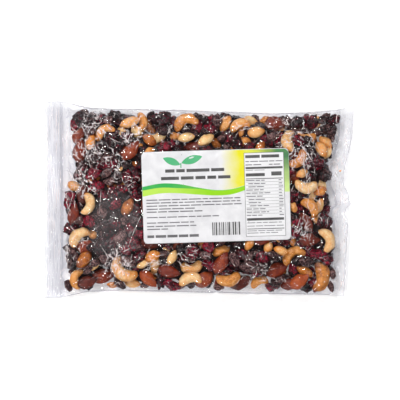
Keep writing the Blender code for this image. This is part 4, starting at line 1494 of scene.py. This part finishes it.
# %% [markdown]
# Rules, the panel's frame, a block of upright stripes and rows of plain bars are black or dark grey. The
# bars of a row differ in length, and they fill only a part of the row's height, so that the label comes
# out as light as a real one.

# %% Rules, stripes and rows of bars
black_ink = ink_material("black ink", "1C1A1C")
grey_ink = ink_material("grey ink", "5C5A60")
STRIPES = (-4.5, 21.5, -36.0, -24.2)  # left, right, bottom and top of the block, in mm
STRIPE_WIDTHS = [0.35, 0.7, 1.05, 1.4]
# middle of each row and where it ends, in mm
SMALL_ROWS = [
    (-2.3, 22), (-5.0, 22), (-7.8, 23), (-10.6, -20), (-18.2, 2), (-23.2, -21), (-26.4, -19), (-29.0, -44)]


def row_of_bars(u0, u1, v0, v1, length, fill=0.5, lift=OVER_FIELDS):
    """Bars about this long between u0 and u1, filling this share of the row's height. All in mm."""
    shapes = []
    u = u0
    spare = (v1 - v0) * (1 - fill) / 2
    gap = 0.5 + 0.08 * length
    while u < u1 - 1.5:
        end = min(u + length * draw.uniform(0.5, 1.5), u1)
        shapes.append(bar(u, end, v0 + spare, v1 - spare, lift))
        u = end + gap
    return shapes


titles = row_of_bars(-46, 8, 21.6, 26.4, 14, 0.6) + row_of_bars(-50, 13.5, 14.8, 19.6, 16, 0.6)
ink("print_title", titles, black_ink)
small_rows = []
for v, end in SMALL_ROWS:
    small_rows += row_of_bars(-64, end, v - 0.9, v + 1.0, 8)
ink("print_small_rows", small_rows, grey_ink)
bold_rows = row_of_bars(-64, -13, -14.0, -12.4, 9, 0.6) + row_of_bars(-64, -17, -38.0, -33.2, 9)
ink("print_bold_rows", bold_rows, ink_material("dark grey ink", "4A484C"))
stripes = []
u = STRIPES[0]
while u < STRIPES[1]:
    width = draw.choice(STRIPE_WIDTHS)
    stripes.append(bar(u, min(u + width, STRIPES[1] + 0.3), *STRIPES[2:]))
    u += width + draw.choice(STRIPE_WIDTHS[:3])
ink("print_stripes", stripes, black_ink)
print("stripes:", len(stripes))

# %% [markdown]
# The white panel has a thin frame, some thick rules and eleven thin ones, and rows of bars between them.

# %% Panel
FRAME_WIDTH = 0.35
THICK_RULES = ((23.6, 25.5), (14.3, 15.0), (-23.6, -21.3), (-31.6, -30.9))  # bottom and top, in mm
RULE_PITCH = 2.9
INDENTS = (0, 2, 2, 0, 0, 0, 2, 2, 3, 0, 0, 0)
left, right, bottom, high_side = PANEL
inner_left, inner_right = left + 1.3, right - 1.3
ink("print_panel", [bar(*PANEL, ON_PANEL[0])], ink_material("white panel", "E4E3E5"))
rules = [
    (left, right, high_side - FRAME_WIDTH, high_side), (left, right, bottom, bottom + FRAME_WIDTH),
    (left, left + FRAME_WIDTH, bottom, high_side), (right - FRAME_WIDTH, right, bottom, high_side)]
rules += [(inner_left, inner_right, v0, v1) for v0, v1 in THICK_RULES]
for k in range(4, -7, -1):
    rules.append((inner_left, inner_right, k * RULE_PITCH - 0.1, k * RULE_PITCH + 0.1))
ink("print_panel_rules", [bar(*rule, ON_PANEL[1]) for rule in rules], black_ink)


def panel_rows(*rows):
    """Rows of bars on the panel: left, right, bottom, top, a bar's length, and the share that it fills."""
    return [shape for row in rows for shape in row_of_bars(*row, lift=ON_PANEL[2])]


ink("print_panel_bold", panel_rows(
    (inner_left, inner_right, 32.8, 37.3, 11, 0.6), (inner_left, 45, 15.9, 20.6, 17, 0.6),
    (51, inner_right, 15.9, 22.0, 12, 0.6)), black_ink)
panel_small = panel_rows(
    (inner_left, inner_right, 29.7, 31.3, 6), (inner_left, 42, 26.6, 28.3, 7),
    (49, inner_right, 26.6, 28.3, 5), (inner_left, 46, 22.0, 23.0, 7))
for k, indent in enumerate(INDENTS):
    low = 12.3 - k * RULE_PITCH
    high = low + 1.6
    panel_small += panel_rows((inner_left + indent, inner_left + draw.uniform(13, 22), low, high, 6))
    panel_small += panel_rows((inner_right - 4, inner_right, low, high, 4))
for v in (-26.2, -29.2, -33.6, -35.6):
    panel_small += panel_rows((inner_left, inner_right - draw.uniform(0, 6), v, v + 1.2, 7))
ink("print_panel_small", panel_small, grey_ink)
print("rules on the panel:", len(rules), "small bars:", len(panel_small))

# %% [markdown]
# A plain sprig of two leaves on a short stem fills the top of the label. Each leaf is a narrow grid, widest
# in its middle.

# %% Sprig
def leaf(u0, v0, length, width, angle):
    """A pointed leaf from (u0, v0), in mm, turned by this angle in radians."""
    t = np.linspace(0, 1, 25)
    half = width / 2 * np.sin(np.pi * t) ** 0.8
    along, across = np.stack([t * length] * 3, 1), np.stack([-half, 0 * half, half], 1)
    c, s = math.cos(angle), math.sin(angle)
    u, v = u0 + along * c - across * s, v0 + along * s + across * c
    return on_paper(u * MM, v * MM, INK), np.stack([u, v], -1)


sprig = [leaf(-31, 31, 20, 7.5, 0.28), leaf(-32, 29.5, 17, 6.5, 2.75), bar(-32, -31, 26.5, 31)]
ink("print_sprig", sprig, ink_material("leaf green ink", "12A662"))
print("printed pieces:", len(printed))

# %% [markdown]
# ## Studio
# The floor is plain white, and glows a little so that it comes out as the even white of a product picture.
# Four small soft boxes stand round the bag, and a narrow ring of light runs round the world at an elevation
# of about 40 degrees. The space straight above stays dim, so that film which lies flat mirrors nothing and
# lets the food show, while each crinkle catches a soft box or the ring.

# %% Floor, lights and camera
PIXEL = 285 / 309 * MM  # size of one of the photograph's 400 pixels at the bag
CAMERA_HEIGHT = 2.5
LIGHT_DISTANCE = 1.45
SENSOR = 36  # mm
LIGHTS = [  # azimuth and elevation in degrees, size in metres, and watts
    (110, 52, 0.2, 11.0), (245, 46, 0.2, 6.3), (0, 45, 0.16, 5.5), (182, 45, 0.16, 5.5),
]
floor_points = np.array([(-3, -3, 0), (3, -3, 0), (3, 3, 0), (-3, 3, 0)], float)
white_board = new_material("matt white board", {
    "Base Color": linear("FEFEFE"), "Roughness": 0.9,
    "Emission Color": linear("FFFFFF"), "Emission Strength": 0.24})[0]
floor = mesh_object("floor", floor_points, np.array([[0, 1, 2, 3]]), material=white_board)
world = bpy.data.worlds.new("studio")
world.use_nodes = True
tree = world.node_tree
height = add(tree, "SeparateXYZ", {0: add(tree, "TexCoord").outputs["Generated"]}).outputs[2]
bands = add(tree, "ValToRGB", {"Fac": height}, stops=[
    (0.0, "242424"), (0.62, "242424"), (0.63, "FFFFFF"), (0.66, "FFFFFF"), (0.67, "101010"), (1.0, "101010")])
feed(tree, tree.nodes["Background"], {"Color": bands.outputs["Color"], "Strength": 3.0})
for azimuth, elevation, size, watts in LIGHTS:
    a, e = math.radians(azimuth), math.radians(elevation)
    lamp = bpy.data.lights.new("soft box", "AREA")
    lamp.size = size
    lamp.energy = watts
    box = bpy.data.objects.new("soft box", lamp)
    towards = Vector((math.cos(a) * math.cos(e), math.sin(a) * math.cos(e), math.sin(e)))
    box.location = towards * LIGHT_DISTANCE
    box.rotation_mode = "QUATERNION"
    box.rotation_quaternion = box.location.to_track_quat("Z", "Y")
    bpy.context.scene.collection.objects.link(box)
bpy.context.scene.world = world
bpy.context.scene.view_settings.view_transform = "Standard"

print("soft boxes:", len(LIGHTS))

lens = bpy.data.cameras.new("camera")
lens.sensor_width = SENSOR
lens.lens = SENSOR * (CAMERA_HEIGHT - SEAL_HEIGHT) / (400 * PIXEL)
lens.clip_end = 10
camera = bpy.data.objects.new("camera", lens)
camera.location = (0.5 * PIXEL, -0.4 * PIXEL, CAMERA_HEIGHT)
bpy.context.scene.collection.objects.link(camera)
bpy.context.scene.camera = camera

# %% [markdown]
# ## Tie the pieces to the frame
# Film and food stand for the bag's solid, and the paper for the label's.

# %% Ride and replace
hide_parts("bag")
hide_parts("label")
for piece in (film, film_edge, crease_marks, label, seam, crumb, core, *printed, *food.values()):
    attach(piece, "root")
